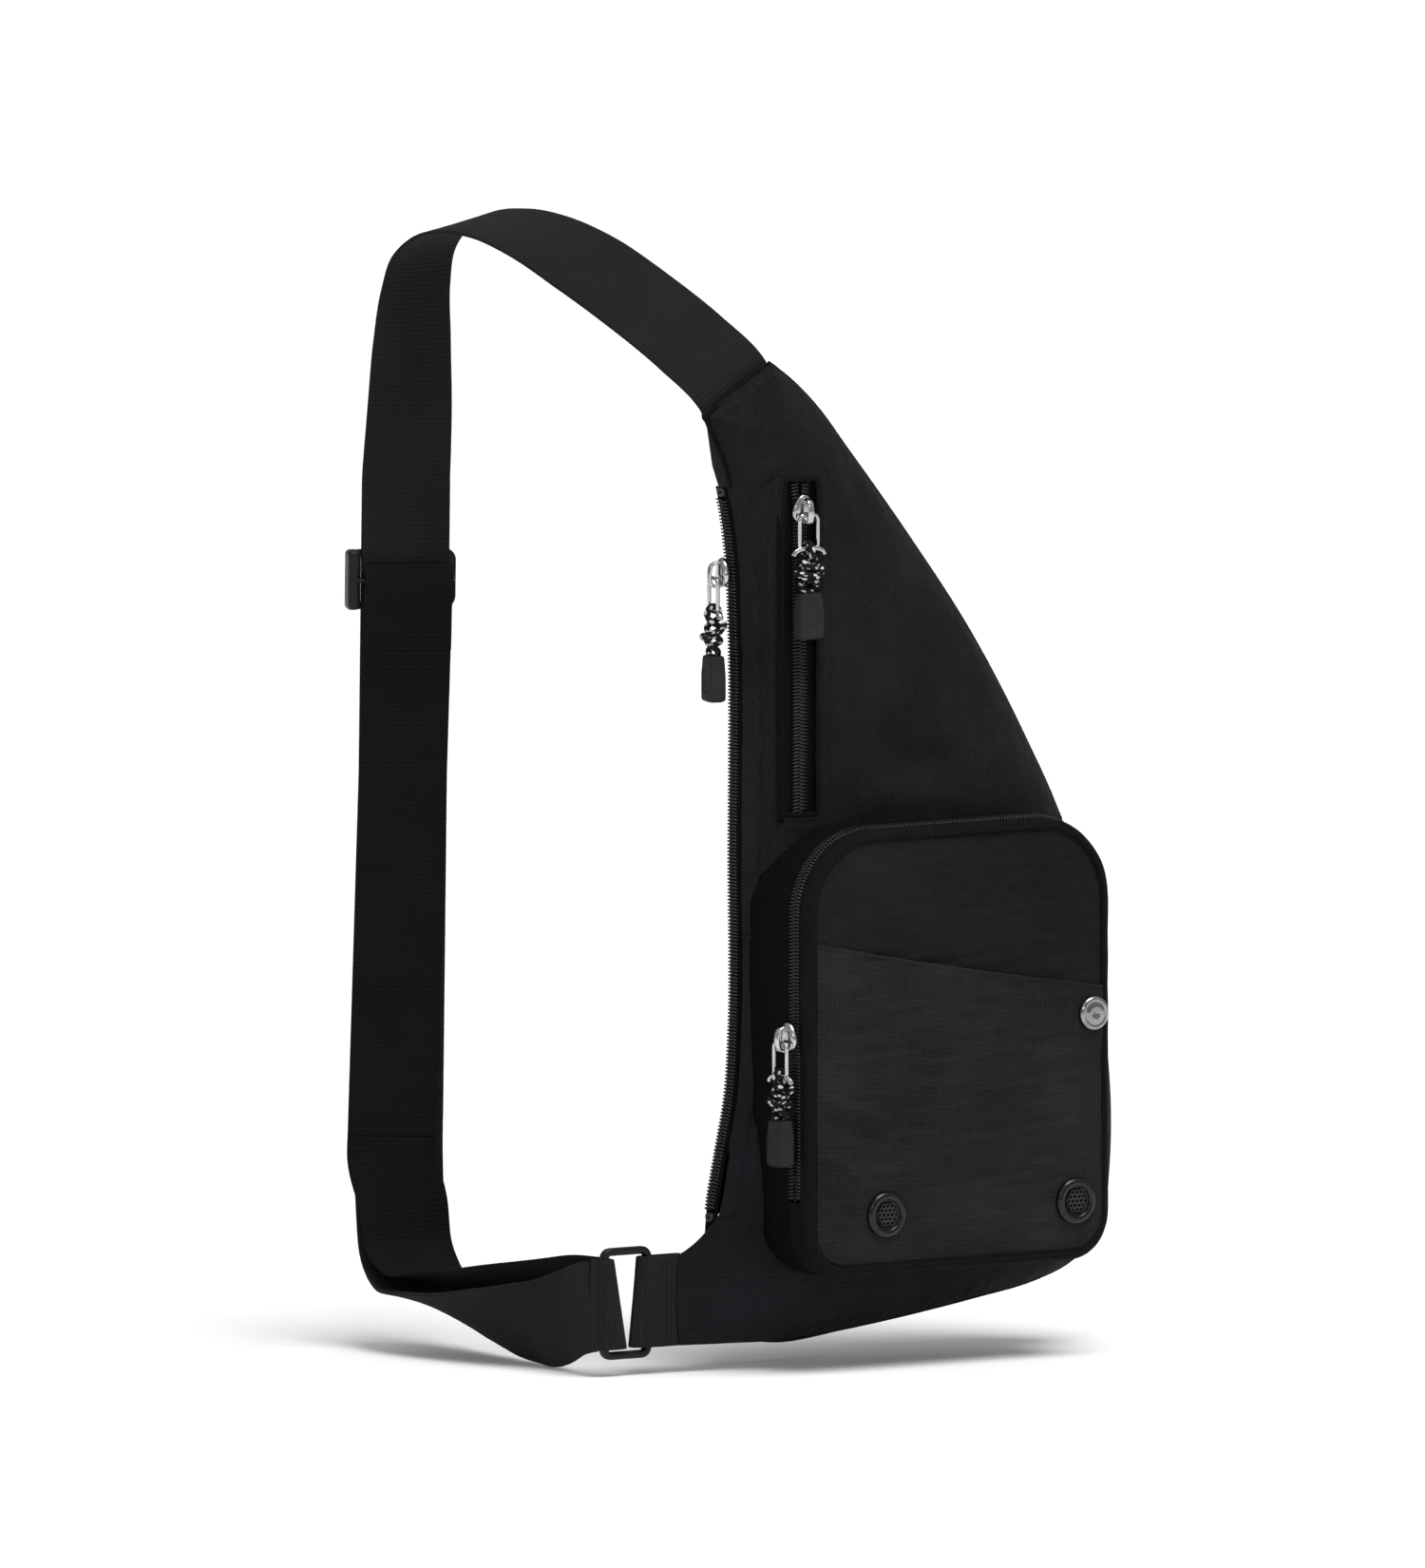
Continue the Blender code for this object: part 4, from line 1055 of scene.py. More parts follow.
def coons(left: Array, right: Array, bottom: Array, top: Array, crowd: float = 1.0) -> Array:
    """A patch over four sides: the two ruled surfaces less the corners' bilinear one.

    Args:
        left: Left side, upward.
        right: Right side, upward.
        bottom: Bottom side, to the right.
        top: Top side, to the right.
        crowd: Above 1, columns crowd to the left.

    Returns:
        Grid of points (rows, columns, 2).
    """
    rows, columns = len(left), len(bottom)
    t = np.linspace(0, 1, rows)[:, None, None]
    s = (np.linspace(0, 1, columns) ** crowd)[None, :, None]

    def crowded(side: Array) -> Array:
        """A side sampled at the crowded shares."""
        return read_off(s[0, :, 0], np.linspace(0, 1, len(side)), side)[None]

    low, high = crowded(bottom), crowded(top)
    corners = ((1 - s) * (1 - t) * low[:, :1] + s * (1 - t) * low[:, -1:]
               + (1 - s) * t * high[:, :1] + s * t * high[:, -1:])
    return (1 - s) * left[:, None] + s * right[:, None] + (1 - t) * low + t * high - corners


@dataclass
class Window:
    """The long slit in the upper front panel."""

    x: float = 21.0
    low: float = 217.0
    high: float = 353.0
    width: float = 15.0

    def outline(self, grow: float, count: int) -> Array:
        """The slit's outline, grown by a distance, as a closed path from the lower left corner."""
        path = rounded_path(self.width + 2 * grow, self.high - self.low + 2 * grow, 1.2 + max(grow, 0), count)
        return path + (self.x, (self.low + self.high) / 2)

    def cut(self, grid: Array, shape: Shape) -> None:
        """Leave out the faces inside the slit, and bring the rim onto its outline.

        Args:
            grid: The panel's grid across the front (rows, columns, 2).
            shape: The panel's shape.
        """
        faces = shape.faces[-1]
        flat = grid.reshape(-1, 2)
        half = np.array([self.width / 2, (self.high - self.low) / 2])
        away = (flat[faces].mean(1) - (self.x, (self.low + self.high) / 2)) / half
        inside = np.abs(away).max(1) < 1
        rim = np.intersect1d(faces[inside], faces[~inside])
        local = (flat[rim] - (self.x, (self.low + self.high) / 2)) / half
        gap = (1 - np.abs(local)) * half
        side = gap.argmin(1)
        local[np.arange(len(rim)), side] = np.sign(local[np.arange(len(rim)), side])
        local = np.clip(local, -1, 1)
        moved = local * half + (self.x, (self.low + self.high) / 2)
        points = shape.points[-1]
        points[rim, 0] = moved[:, 0]
        points[rim, 2] = moved[:, 1]
        shape.faces[-1] = faces[~inside]
        shape.uvs[-1] = shape.uvs[-1][~inside]


@dataclass
class Body:
    """The stuffed body: front panels, side gusset, wing, lining and back pad."""

    form: BodyForm
    window: Window
    cloth: float = 0.9
    rows_high: int = 250
    rows_low: int = 170
    columns: int = 120

    def build(self) -> None:
        """Make every piece of the body."""
        self.panels()
        self.joint_seam()
        self.gusset()
        self.wing_back()
        self.lining()
        self.back_pad()
        self.topstitches()

    def seam_line(self, count: int) -> Array:
        """The joint between the upper and the lower front panel."""
        ends = np.stack([self.form.split_left(), self.form.right_part(self.form.seam_share, 1.0)[0]])
        return resample(ends, count)

    def panels(self) -> None:
        """Both front panels, as patches over their outlines with the front's depth."""
        form = self.form
        seam = self.seam_line(self.columns)
        high = coons(resample(form.left_high, self.rows_high),
                     resample(form.right_part(form.seam_share, 1.0), self.rows_high),
                     seam, resample(smooth_curve(TOP, 9), self.columns), 1.4)
        shape = Shape().grid(form.on_front(high))
        self.window.cut(high, shape)
        Dress(NYLON, replaces="front_panel_upper", toward=FRONT,
              thickness=self.cloth).put("front_panel_upper_cloth", shape)
        columns = 150
        low = coons(resample(form.left_low, self.rows_low),
                    resample(form.right_part(0.0, form.seam_share), self.rows_low),
                    resample(smooth_curve(WING_BOTTOM, 80), columns), self.seam_line(columns), 1.15)
        Dress(BASE_RIPSTOP, replaces="front_panel_lower", toward=FRONT,
              thickness=self.cloth).put("front_panel_lower_cloth", form.on_front(low))

    def joint_seam(self) -> None:
        """A raised fold where the upper panel laps over the lower one, and its stitches."""
        line = self.form.on_front(self.seam_line(120), -0.15)
        fold = bar(line, rounded_profile(2.2, 0.9, 0.4, 1, 3), FRONT, closed=False)
        Dress(NYLON).put("panel_joint_fold", fold)
        above = self.form.on_front(self.seam_line(120) + (0, 2.2), -0.1)
        put_stitches("panel_joint_stitches", [above], FRONT)

    def gusset(self) -> None:
        """The side wall: from the front seam to the rear outline, bowed outward by a sine."""
        form = self.form
        low = self.form.left[self.form.left[:, 1] < 50][::-1]
        high = self.form.left[self.form.left[:, 1] > 349][::-1]
        run = np.vstack([resample(low, 20), smooth_curve(BOTTOM, 70)[1:], smooth_curve(RIGHT, 150)[1:],
                         smooth_curve(TOP, 16)[::-1][1:], resample(high, 20)[1:]])
        bow = np.full(len(run), 3.0)
        bow[:20] = 1.0
        bow[-38:] = 0.0
        q = np.linspace(0, 1, 15)[None, :, None]
        outward = unit(run - form.middle)
        flat = run[:, None] * (1 - q) + form.rear(run)[:, None] * q
        flat = flat + outward[:, None] * (bow[:, None, None] * np.sin(math.pi * q))
        reach = run_length(run)
        wave = 0.35 * np.sin(math.pi * q[..., 0]) * ripple(np.stack([reach, reach * 0.2], -1), 17.0, 21)[:, None]
        flat = flat + outward[:, None] * wave[..., None]
        y = form.edge + 1.0 + (form.back + 1.5 - form.edge - 1.0) * np.broadcast_to(q[..., 0], flat.shape[:2])
        grid = at_depth(flat, y)
        Dress(SHADED_WALL_NYLON, replaces="side_gusset", toward=(0.3, 0.0, -1.0),
              thickness=self.cloth).put("side_gusset_cloth", grid)
        edge = grid[:, 0] + at_depth(outward, 0.0) * 0.1
        Dress(SHADED_TRIM_NYLON).put("front_seam_piping", bar(edge, circle(0.75, 8), FRONT, closed=False))

    def wing_back(self) -> None:
        """The wing's rear cloth: it meets the front cloth along the top and bottom edges."""
        s = np.linspace(0, 1, 40)[None, :, None]
        t = np.linspace(0, 1, 40)[:, None]
        tab = resample(smooth_curve(WING_TAB, 40), 40)
        seam = smooth_curve(((2, 3.4), (2, 20), (0, 42), (-3, 62)), 40)
        xz = tab[:, None] * (1 - s) + seam[:, None] * s
        xz[..., 1] -= 3.0 * np.sin(math.pi * s[..., 0]) * t ** 3
        edge = np.minimum(t, 1 - t) * 38
        y = -4.7 + 9.4 * (1 - np.exp(-edge / 3.5)) * np.ones_like(xz[..., 0])
        y = y + 0.25 * ripple(xz, 12.0, 31) * (1 - np.exp(-edge / 5))
        Dress(RIPSTOP, replaces="wing_panel", toward=REAR,
              thickness=0.8).put("wing_back_cloth", at_depth(xz, y))

    def whole(self, rows: int, columns: int) -> Array:
        """A patch over the whole outline of the front seam."""
        return coons(smooth_curve(LEFT, rows), smooth_curve(RIGHT, rows), smooth_curve(BOTTOM, columns),
                     smooth_curve(TOP, columns))

    def lining(self) -> None:
        """The closed lining inside the body, a little smaller than its shell."""
        whole = self.whole(60, 34)
        front = self.form.on_front(self.form.drawn_in(whole, 0.93, 5.0), 5.0)
        back = at_depth(self.form.rear(whole, 0.04), self.form.back - 0.4)
        Dress(LINING, replaces="main_lining").put("main_lining_bag", pillow(front, back))

    def back_pad(self) -> None:
        """The padded back: foam under spacer mesh, crowned, with sewn channels across."""
        whole = self.whole(120, 64)
        obj = Dress(AIR_MESH, replaces="back_panel_mesh back_panel_foam").put(
            "back_pad", Cushion(self.form, whole).build())
        path = at_depth(self.form.rear(border(whole), 0.012), self.form.back + 1.9)
        Dress(SHADED_TRIM_NYLON).put("back_binding", bar(resample(np.vstack([path, path[:1]]), 400)[:-1],
                                                         rounded_profile(3.4, 2.6, 1.1, 1, 3), REAR))

    def topstitches(self) -> None:
        """Rows of stitches beside the left groove, round the slit and along its pouch seam."""
        form = self.form
        left = form.left[(form.left[:, 1] > 82) & (form.left[:, 1] < 330)]
        normal = unit(np.gradient(left, axis=0))[:, ::-1] * (1, -1)
        beside = resample(left + normal * (form.groove_in + 1.6), 240)
        put_stitches("left_edge_stitches", [form.on_front(beside, -0.05)], FRONT_LEFT)
        pouch = smooth_curve(((12.5, 355.5), (7.5, 354), (3, 349), (0.6, 343), (-0.5, 336)), 60)
        put_stitches("slit_pouch_stitches", [form.on_front(pouch, -0.08)], FRONT_LEFT)
        for name, grow in (("slit_inner_stitches", 2.3), ("slit_outer_stitches", 6.0)):
            ring = self.window.outline(grow, 260)
            put_stitches(name, [form.on_front(np.vstack([ring, ring[:1]]), -0.08)], FRONT)
        top = resample(smooth_curve(TOP, 9), 40) + (1.4, -3.4)
        put_stitches("top_seam_stitches", [form.on_front(top[2:-2], -0.1)], FRONT)


def pillow(front: Array, back: Array) -> Shape:
    """A closed form between two grids of one shape, joined along their border.

    Args:
        front: Front grid (rows, columns, 3).
        back: Back grid of the same shape.

    Returns:
        The closed shape.
    """
    rows, columns = front.shape[:2]
    index = np.arange(rows * columns).reshape(rows, columns)
    rim = border(index)
    after = np.roll(rim, -1)
    shift = rows * columns
    quads = cells(index)
    walls = np.stack([rim, rim + shift, after + shift, after], axis=1)
    faces = np.vstack([quads, quads[:, ::-1] + shift, walls])
    points = np.vstack([front.reshape(-1, 3), back.reshape(-1, 3)])
    uv = points[faces][..., [0, 2]] * MM
    return Shape().add(points, faces, uv)


@dataclass
class Cushion:
    """The back pad: foam under spacer mesh that swells between its sewn rim and four curved channels."""

    form: BodyForm
    whole: Array
    base: float = 1.6
    swell: float = 3.2
    rim: float = 6.0
    channels: tuple[float, ...] = (84.0, 150.0, 216.0, 282.0)
    channel_depth: float = 2.6
    voxel: float = 5.0
    pressure: float = 4.0
    frames: int = 20
    most: float = 4.0

    def build(self) -> bpy.types.Mesh:
        """The pad after its swelling, with its channels pressed in.

        Returns:
            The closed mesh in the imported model's frame.
        """
        mesh = self.slack().mesh("back_pad")
        points = mesh_points(mesh)
        bag = points / MM + CREST
        bag[:, 1] += self.swelling(points)
        rear = smooth_step(bag[:, 1], self.form.back + 1.2, self.form.back + 4.0)
        bag[:, 1] -= self.channel_depth * rear * self.hollow(bag[:, [0, 2]])
        bag[:, 1] += 0.2 * rear * ripple(bag[:, [0, 2]], 30.0, 41)
        mesh.vertices.foreach_set("co", ((bag - CREST) * MM).astype(np.float32).ravel())
        mesh.update()
        mesh.shade_smooth()
        return mesh

    def slack(self) -> Shape:
        """The pad before it swells: rear face at base + swell (1 - exp(-edge distance / rim))."""
        xz = self.form.rear(self.whole, 0.02)
        rim = border(xz)
        edge = segment_distance(xz, rim, np.roll(rim, -1, axis=0))[0].min(-1)
        y = self.form.back + self.base + self.swell * (1 - np.exp(-edge / self.rim))
        return pillow(at_depth(xz, self.form.back + 0.4), at_depth(xz, y))

    def hollow(self, xz: Array) -> Array:
        """Depth share of the channels: exp(-(distance to a shallow V at each height / 3.2)^2)."""
        slant = xz[:, 1] - 0.22 * np.abs(xz[:, 0] - 70)
        return np.max([np.exp(-((slant - height) / 3.2) ** 2) for height in self.channels], axis=0)

    def swelling(self, points: Array) -> Array:
        """Swell an even remesh of the pad as cloth under pressure, and carry its travel to the given points.

        Args:
            points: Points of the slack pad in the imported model's frame (n, 3).

        Returns:
            How far each moves to the rear, in mm: capped, and nothing at the sewn rim.
        """
        scene = bpy.context.scene
        pad = linked("pad_swelling", self.slack().mesh("pad_swelling"))
        even = pad.modifiers.new("Even", "REMESH")
        even.mode = "VOXEL"
        even.voxel_size = self.voxel * MM
        pad.data = evaluated_mesh(pad)
        pad.modifiers.clear()
        rest = mesh_points(pad.data)
        cloth = pad.modifiers.new("Swell", "CLOTH")
        cloth.settings.use_pressure = True
        cloth.settings.uniform_pressure_force = self.pressure
        cloth.settings.effector_weights.gravity = 0.0
        cloth.point_cache.frame_start = 1
        cloth.point_cache.frame_end = self.frames
        for frame in range(1, self.frames + 1):
            scene.frame_set(frame)
        travel = (mesh_points(evaluated_mesh(pad)) - rest)[:, 1] / MM
        scene.frame_set(1)
        bpy.data.objects.remove(pad)
        travel = np.clip(travel, 0, self.most)
        carried = np.concatenate([self.nearby(block, rest, travel) for block in np.array_split(points, 24)])
        height = points[:, 1] / MM + CREST[1] - self.form.back - self.base
        LOG.info("back pad swells by at most %.1f mm", carried.max())
        return carried * np.clip(height / self.swell, 0, 1)

    def nearby(self, points: Array, rest: Array, travel: Array) -> Array:
        """Mean travel of the cloth around each point, weighted by 1 / (distance^2 + voxel^2)^3.

        Args:
            points: Where the travel is wanted (m, 3).
            rest: The cloth's points (n, 3).
            travel: Their travel (n,).

        Returns:
            The means (m,).
        """
        apart = ((points[:, None] - rest[None]) ** 2).sum(-1)
        weight = 1 / (apart + (self.voxel * MM) ** 2) ** 3
        return (weight @ travel) / weight.sum(1)


def mesh_points(mesh: bpy.types.Mesh) -> Array:
    """A mesh's points (n, 3)."""
    points = np.empty(len(mesh.vertices) * 3)
    mesh.vertices.foreach_get("co", points)
    return points.reshape(-1, 3)


def evaluated_mesh(obj: bpy.types.Object) -> bpy.types.Mesh:
    """A new mesh of the object as its modifiers leave it."""
    graph = bpy.context.evaluated_depsgraph_get()
    return bpy.data.meshes.new_from_object(obj.evaluated_get(graph))


# Zips in the body

@dataclass
class MainZip:
    """The long coil zip down the left edge, with its two tapes and end stops."""

    form: BodyForm
    low: float = 54.0
    high: float = 347.0
    skirt: float = 12.0
    chain_half: float = 2.8
    rise: float = 1.3

    def build(self) -> None:
        """Make the tapes, the chain and the stops."""
        z = self.form.left[:, 1]
        closed = resample(self.form.left[(z > self.low) & (z < self.high)], 300) - (self.rise, 0.0)
        long = self.form.left[(z > self.low - self.skirt) & (z < self.high + 4)]
        chain = resample(long, 320) - (self.rise, 0.0)
        rear = self.form.rear(chain + (self.rise, 0.0))
        edge = at_depth(chain + (self.rise + 0.2, 0), self.form.edge + self.form.left_wrap + 0.4)
        fold = at_depth(chain + (0.4, 0), -self.chain_half)
        q = np.linspace(0, 1, 7)[None, :, None]
        swell = np.sin(math.pi * q) * np.array([-0.5, -0.2, 0.0])
        front = edge[:, None] * (1 - q) + fold[:, None] * q + swell
        Dress(SHADED_WALL_NYLON, Slot.ZIP_TAPE, replaces="main_zip_tape_front", toward=(-1, -1, 0),
              thickness=0.7).put("main_zip_flange", front)
        under = np.linspace(-1, 1, 7)[None, :, None] * np.array([0, self.chain_half + 0.6, 0])
        bed = at_depth(chain + (0.9, 0), 0.0)[:, None] + under
        Dress(TAPE, toward=LEFTWARD, thickness=0.5).put("main_zip_tape", bed)
        start = at_depth(chain + (0.6, 0), self.chain_half + 0.35)
        end = at_depth(rear, self.form.back + 1.5)
        q = np.linspace(0, 1, 12)[None, :, None]
        wall = start[:, None] * (1 - q) + end[:, None] * q
        wall = wall + np.array([-0.8, 0.3, 0.0]) * np.sin(math.pi * q)
        Dress(SHADED_WALL_NYLON, replaces="main_zip_tape_rear", toward=(-1, 0.2, 0),
              thickness=0.8).put("main_zip_wall", wall)
        coil = CoilZip(reach=1.5, wire=0.42).build(at_depth(closed, 0.0), np.array(LEFTWARD), np.zeros_like)
        Dress(TEETH, replaces="main_zip_chain").put("main_zip_coil", coil)
        for name, at, away in (("low", closed[0], -2.6), ("top", closed[-1], 2.6)):
            path = np.array([[0, y, z] for y, z in rounded_path(3.4, 2.2, 0.8, 24)])
            stop = bar(path + (at[0], 0.0, at[1] + away), circle(0.9, 8), (1, 0, 0))
            Dress(BLACK_METAL, replaces="main_zip_stop_" + name).put("main_zip_end_" + name, stop)


@dataclass
class SlitZip:
    """The zip in the upper panel's slit: turned edge, tapes, chain and the pouch behind."""

    form: BodyForm
    window: Window
    slider_z: float = 341.0
    tape_y: float = -16.6
    chain_y: float = -17.35

    def build(self) -> None:
        """Make the lip, the tapes, the chain and the pouch."""
        form, window = self.form, self.window
        lip = form.on_front(window.outline(0.25, 320), 0.25)
        Dress(SHADED_TRIM_NYLON).put("slit_lip", bar(lip, rounded_profile(1.9, 1.3, 0.55, 1, 3), FRONT))
        z = np.linspace(window.low - 3, window.high + 3, 120)
        for name, low, high in (("left", -10.5, -0.9), ("right", 0.9, 10.5)):
            x = window.x + np.linspace(low, high, 12)
            xz = np.stack(np.broadcast_arrays(x[None], z[:, None]), axis=-1)
            Dress(TAPE, replaces="slit_zip_tape_" + name, toward=FRONT,
                  thickness=0.4).put("slit_tape_" + name, at_depth(xz, self.tape_y))
        chain = resample(np.array([(window.x, self.chain_y, window.low + 0.4),
                                   (window.x, self.chain_y, window.high - 0.6)]), 160)
        top = self.slider_z + 5 - window.low

        def parted(at: Array) -> Array:
            """Above the slider the two sides stand apart."""
            return 1.1 * smooth_step(at, top - 4, top + 3)

        coil = CoilZip(reach=1.9, centre=1.5).build(chain, np.array(FRONT), parted)
        Dress(TEETH, replaces="slit_zip_chain").put("slit_zip_coil", coil)
        x = window.x + np.linspace(-15, 34, 20)
        z = np.linspace(window.low - 26, window.high - 22, 60)
        xz = np.stack(np.broadcast_arrays(x[None], z[:, None]), axis=-1)
        Dress(LINING, replaces="slit_pouch", toward=FRONT,
              thickness=0.5).put("slit_pouch_cloth", form.on_front(xz, 3.0))


# Front pocket

@dataclass
class Pocket:
    """The front pocket: its walls, arched zip, padded face, slanted mouth and hardware."""

    form: BodyForm
    x: float = 78.5
    z: float = 121.5
    width: float = 150.0
    height: float = 181.0
    top_radius: float = 34.0
    low_radius: float = 19.0
    chain_y: float = -38.6
    face_y: float = -48.0
    border: float = 5.0
    round_it: int = 460
    zip_low: float = 62.0
    mouth_left: float = 167.5
    mouth_right: float = 141.0
    slider_z: float = 129.0
    eyelets: tuple[tuple[str, float, float], ...] = (("left", 41.3, 55.5), ("right", 134.8, 55.5))
    eyelet_radius: float = 9.4
    snap: tuple[float, float] = (143.5, 131.4)

    def outline(self, count: int) -> tuple[Array, Array]:
        """The pocket's outline from its lower left corner, counterclockwise, with outward normals.

        Args:
            count: Number of points.

        Returns:
            Points and normals (count, 2).
        """
        half_w, half_h = self.width / 2, self.height / 2
        points, normals = [], []
        for sx, sz, radius, start in ((-1, -1, self.low_radius, 180), (1, -1, self.low_radius, 270),
                                      (1, 1, self.top_radius, 0), (-1, 1, self.top_radius, 90)):
            turn = np.radians(np.linspace(start, start + 90, 40))
            way = np.stack([np.cos(turn), np.sin(turn)], axis=1)
            corner = np.array([self.x + sx * (half_w - radius), self.z + sz * (half_h - radius)])
            points.append(corner + radius * way)
            normals.append(way)
        ring = np.vstack([*points, points[0][:1]])
        ways = np.vstack([*normals, normals[0][:1]])
        reach = run_length(ring)
        even = np.linspace(0, reach[-1], count + 1)[:-1]
        return read_off(even, reach, ring), unit(read_off(even, reach, ways))

    def wall(self, profile: Sequence[tuple[Array | float, Array | float]]) -> Array:
        """Rows round the outline through (inset, depth) stations; both may vary round it."""
        ring, way = self.outline(self.round_it)
        return np.stack([at_depth(ring - way * inset, depth) for inset, depth in profile], axis=1)

    def build(self) -> None:
        """Make every piece of the pocket."""
        self.walls()
        self.arch_zip()
        self.face()
        self.hardware()

    def walls(self) -> None:
        """Rear gusset with soft waves, and the border that rolls from the zip onto the front."""
        ring, _ = self.outline(self.round_it)
        rear = self.form.depth(ring) - 0.2
        front = self.chain_y + 3.6
        reach = run_length(ring)
        bow = 1.0 + 0.5 * ripple(np.stack([reach, reach * 0.3], -1), 26.0, 51)[:, None]
        columns = [(0.3 - bow * math.sin(math.pi * q), rear * (1 - q) + front * q) for q in np.linspace(0, 1, 14)]
        self.put_wall("pocket_gusset_cloth", columns, SHADED_WALL_NYLON, "pocket_gusset")
        turn = np.linspace(0, math.pi / 2, 9)
        roll = [(0.2, self.chain_y - 3.2), (0.0, self.chain_y - 4.4)]
        roll += [(3.2 - 3.2 * math.cos(a), self.face_y + 3.4 - 3.6 * math.sin(a)) for a in turn]
        roll += [(self.border - 0.9, self.face_y - 0.1), (self.border - 0.2, self.face_y + 0.5),
                 (self.border + 0.1, self.face_y + 1.6)]
        wave = 0.18 * ripple(np.stack([reach, reach * 0.1], -1), 14.0, 53)
        roll = [(inset, depth + wave) for inset, depth in roll]
        self.put_wall("pocket_border_cloth", roll, SHADED_TRIM_NYLON, "pocket_band")
        stitched = self.wall([(self.border - 1.9, self.face_y - 0.33)])[:, 0]
        put_stitches("pocket_border_stitches", [np.vstack([stitched, stitched[:1]])], FRONT, 3.2)

    def put_wall(self, name: str, profile: Sequence[tuple], finish: Finish, node: str) -> None:
        """Make one closed band of the wall from its stations."""
        shape = Shape().grid(self.wall(profile), loop=True)
        self.faced(Dress(finish, replaces=node).put(name, shape))

    def faced(self, obj: bpy.types.Object) -> None:
        """Turn a band's faces away from the pocket's middle, and give it its cloth's thickness."""
        face_outward(obj, (self.x, self.chain_y, self.z))

    def arch_zip(self) -> None:
        """The coil over the left leg, the arch and the right leg, its tapes, and the fold below."""
        ring, way = self.outline(1200)
        upper = ring[:, 1] >= self.zip_low
        first = int(np.argmax(upper & (ring[:, 0] > self.x)))
        order = np.arange(first, first + int(upper.sum())) % 1200
        path = at_depth(ring[order][::-1], self.chain_y)
        outward = at_depth(way[order][::-1], 0.0)
        slid = self.slider_z - self.zip_low - 6

        def parted(at: Array) -> Array:
            """Below the slider, on the left leg, the sides stand apart."""
            return 0.9 * (1 - smooth_step(at, slid - 3, slid + 4))

        coil = CoilZip().build(path - outward * 0.3, outward, parted)
        Dress(TEETH, replaces="pocket_zip_chain").put("pocket_zip_coil", coil)
        for name, low, high in (("rear", 3.9, 0.9), ("front", -0.9, -3.6)):
            steps = np.linspace(low, high, 5)[None, :, None] * np.array([0, 1, 0])
            grid = (path - outward * 1.3)[:, None] + steps
            obj = Dress(TAPE).put("pocket_tape_" + name, grid[::3])
            self.faced(obj)
        bed = self.wall([(2.2, self.chain_y + 4.0), (2.2, self.chain_y - 4.0)])
        obj = Dress(LINING).put("pocket_zip_guard", Shape().grid(bed, loop=True))
        self.faced(obj)
        lower = np.roll(ring, 300, axis=0)
        keep = lower[:, 1] < self.zip_low
        turned = int(np.argmax(keep & (lower[:, 0] < self.x)))
        low_ring = np.roll(lower, -turned, axis=0)[:int(keep.sum())]
        steps = np.linspace(self.chain_y + 3.8, self.chain_y - 3.4, 6)
        grid = np.stack([at_depth(low_ring, y) for y in steps], axis=1)
        obj = Dress(SHADED_TRIM_NYLON, replaces="pocket_fold_strip").put("pocket_fold_cloth", grid[::3])
        self.faced(obj)

    def edges(self, z: Array, inset: float) -> tuple[Array, Array]:
        """Left and right limits of the face at each height, round corners included."""
        low, high = self.z - self.height / 2, self.z + self.height / 2
        half = np.full(np.shape(z), self.width / 2 - inset)
        for base, sign, radius in ((low, 1, self.low_radius), (high, -1, self.top_radius)):
            within = radius - (z - base) * sign
            inner = radius - inset
            cut = inner - np.sqrt(np.clip(inner ** 2 - np.clip(within, 0, None) ** 2, 0, None))
            half = half - np.where(within > 0, cut, 0)
        return self.x - half, self.x + half

    def mouth(self, x: Array) -> Array:
        """Height of the slanted mouth: a straight line with a slight sag."""
        share = (x - self.x + self.width / 2) / self.width
        return self.mouth_left + (self.mouth_right - self.mouth_left) * share - 1.2 * np.sin(math.pi * share)

    def sheet(self, rows: int, columns: int, inset: float, upper: bool) -> Array:
        """The part of the face above or below the mouth, as a grid across the front."""
        u = np.linspace(0, 1, columns)[None]
        v = np.linspace(0, 1, rows)[:, None]
        left, right = self.x - self.width / 2 + inset, self.x + self.width / 2 - inset
        guess = left + (right - left) * u
        low, high = self.z - self.height / 2 + inset, self.z + self.height / 2 - inset
        bottom = self.mouth(guess) - 9 if upper else np.full_like(guess, low)
        top = np.full_like(guess, high) if upper else self.mouth(guess)
        z = bottom * (1 - v) + top * v
        near, far = self.edges(z, inset)
        return np.stack([near + (far - near) * u, z], axis=-1)

    def face_relief(self, xz: Array, patch: bool) -> Array:
        """How far the face stands out: (1 - exp(-edge distance / 7)) with folds from its left edge."""
        ring, way = self.outline(200)
        rim = ring - way * (self.border - 0.2)
        distance = segment_distance(xz, rim, np.roll(rim, -1, axis=0))[0].min(-1)
        rise = 1 - np.exp(-distance / 6.0)
        stand = 1.5 * rise + 0.6 * rise * ripple(xz, 30.0, 61) + 0.34 * rise * ripple(xz * (0.5, 1.6), 12.0, 62)
        if patch:
            crown = np.exp(-(((xz[..., 0] - 88) / 46) ** 2 + ((xz[..., 1] - 98) / 34) ** 2))
            stand = stand + 2.4 * crown * rise
            folds = sum(crease.relief(xz) for crease in FACE_CREASES)
            stand = stand + 1.7 * folds * smooth_step(distance, 0.3, 4)
            flat = sum(np.exp(-(((xz[..., 0] - x) ** 2 + (xz[..., 1] - z) ** 2) / 13 ** 2) ** 2)
                       for x, z in [(x, z) for _, x, z in self.eyelets] + [self.snap])
            stand = stand * (1 - flat) + 1.45 * flat
        return stand

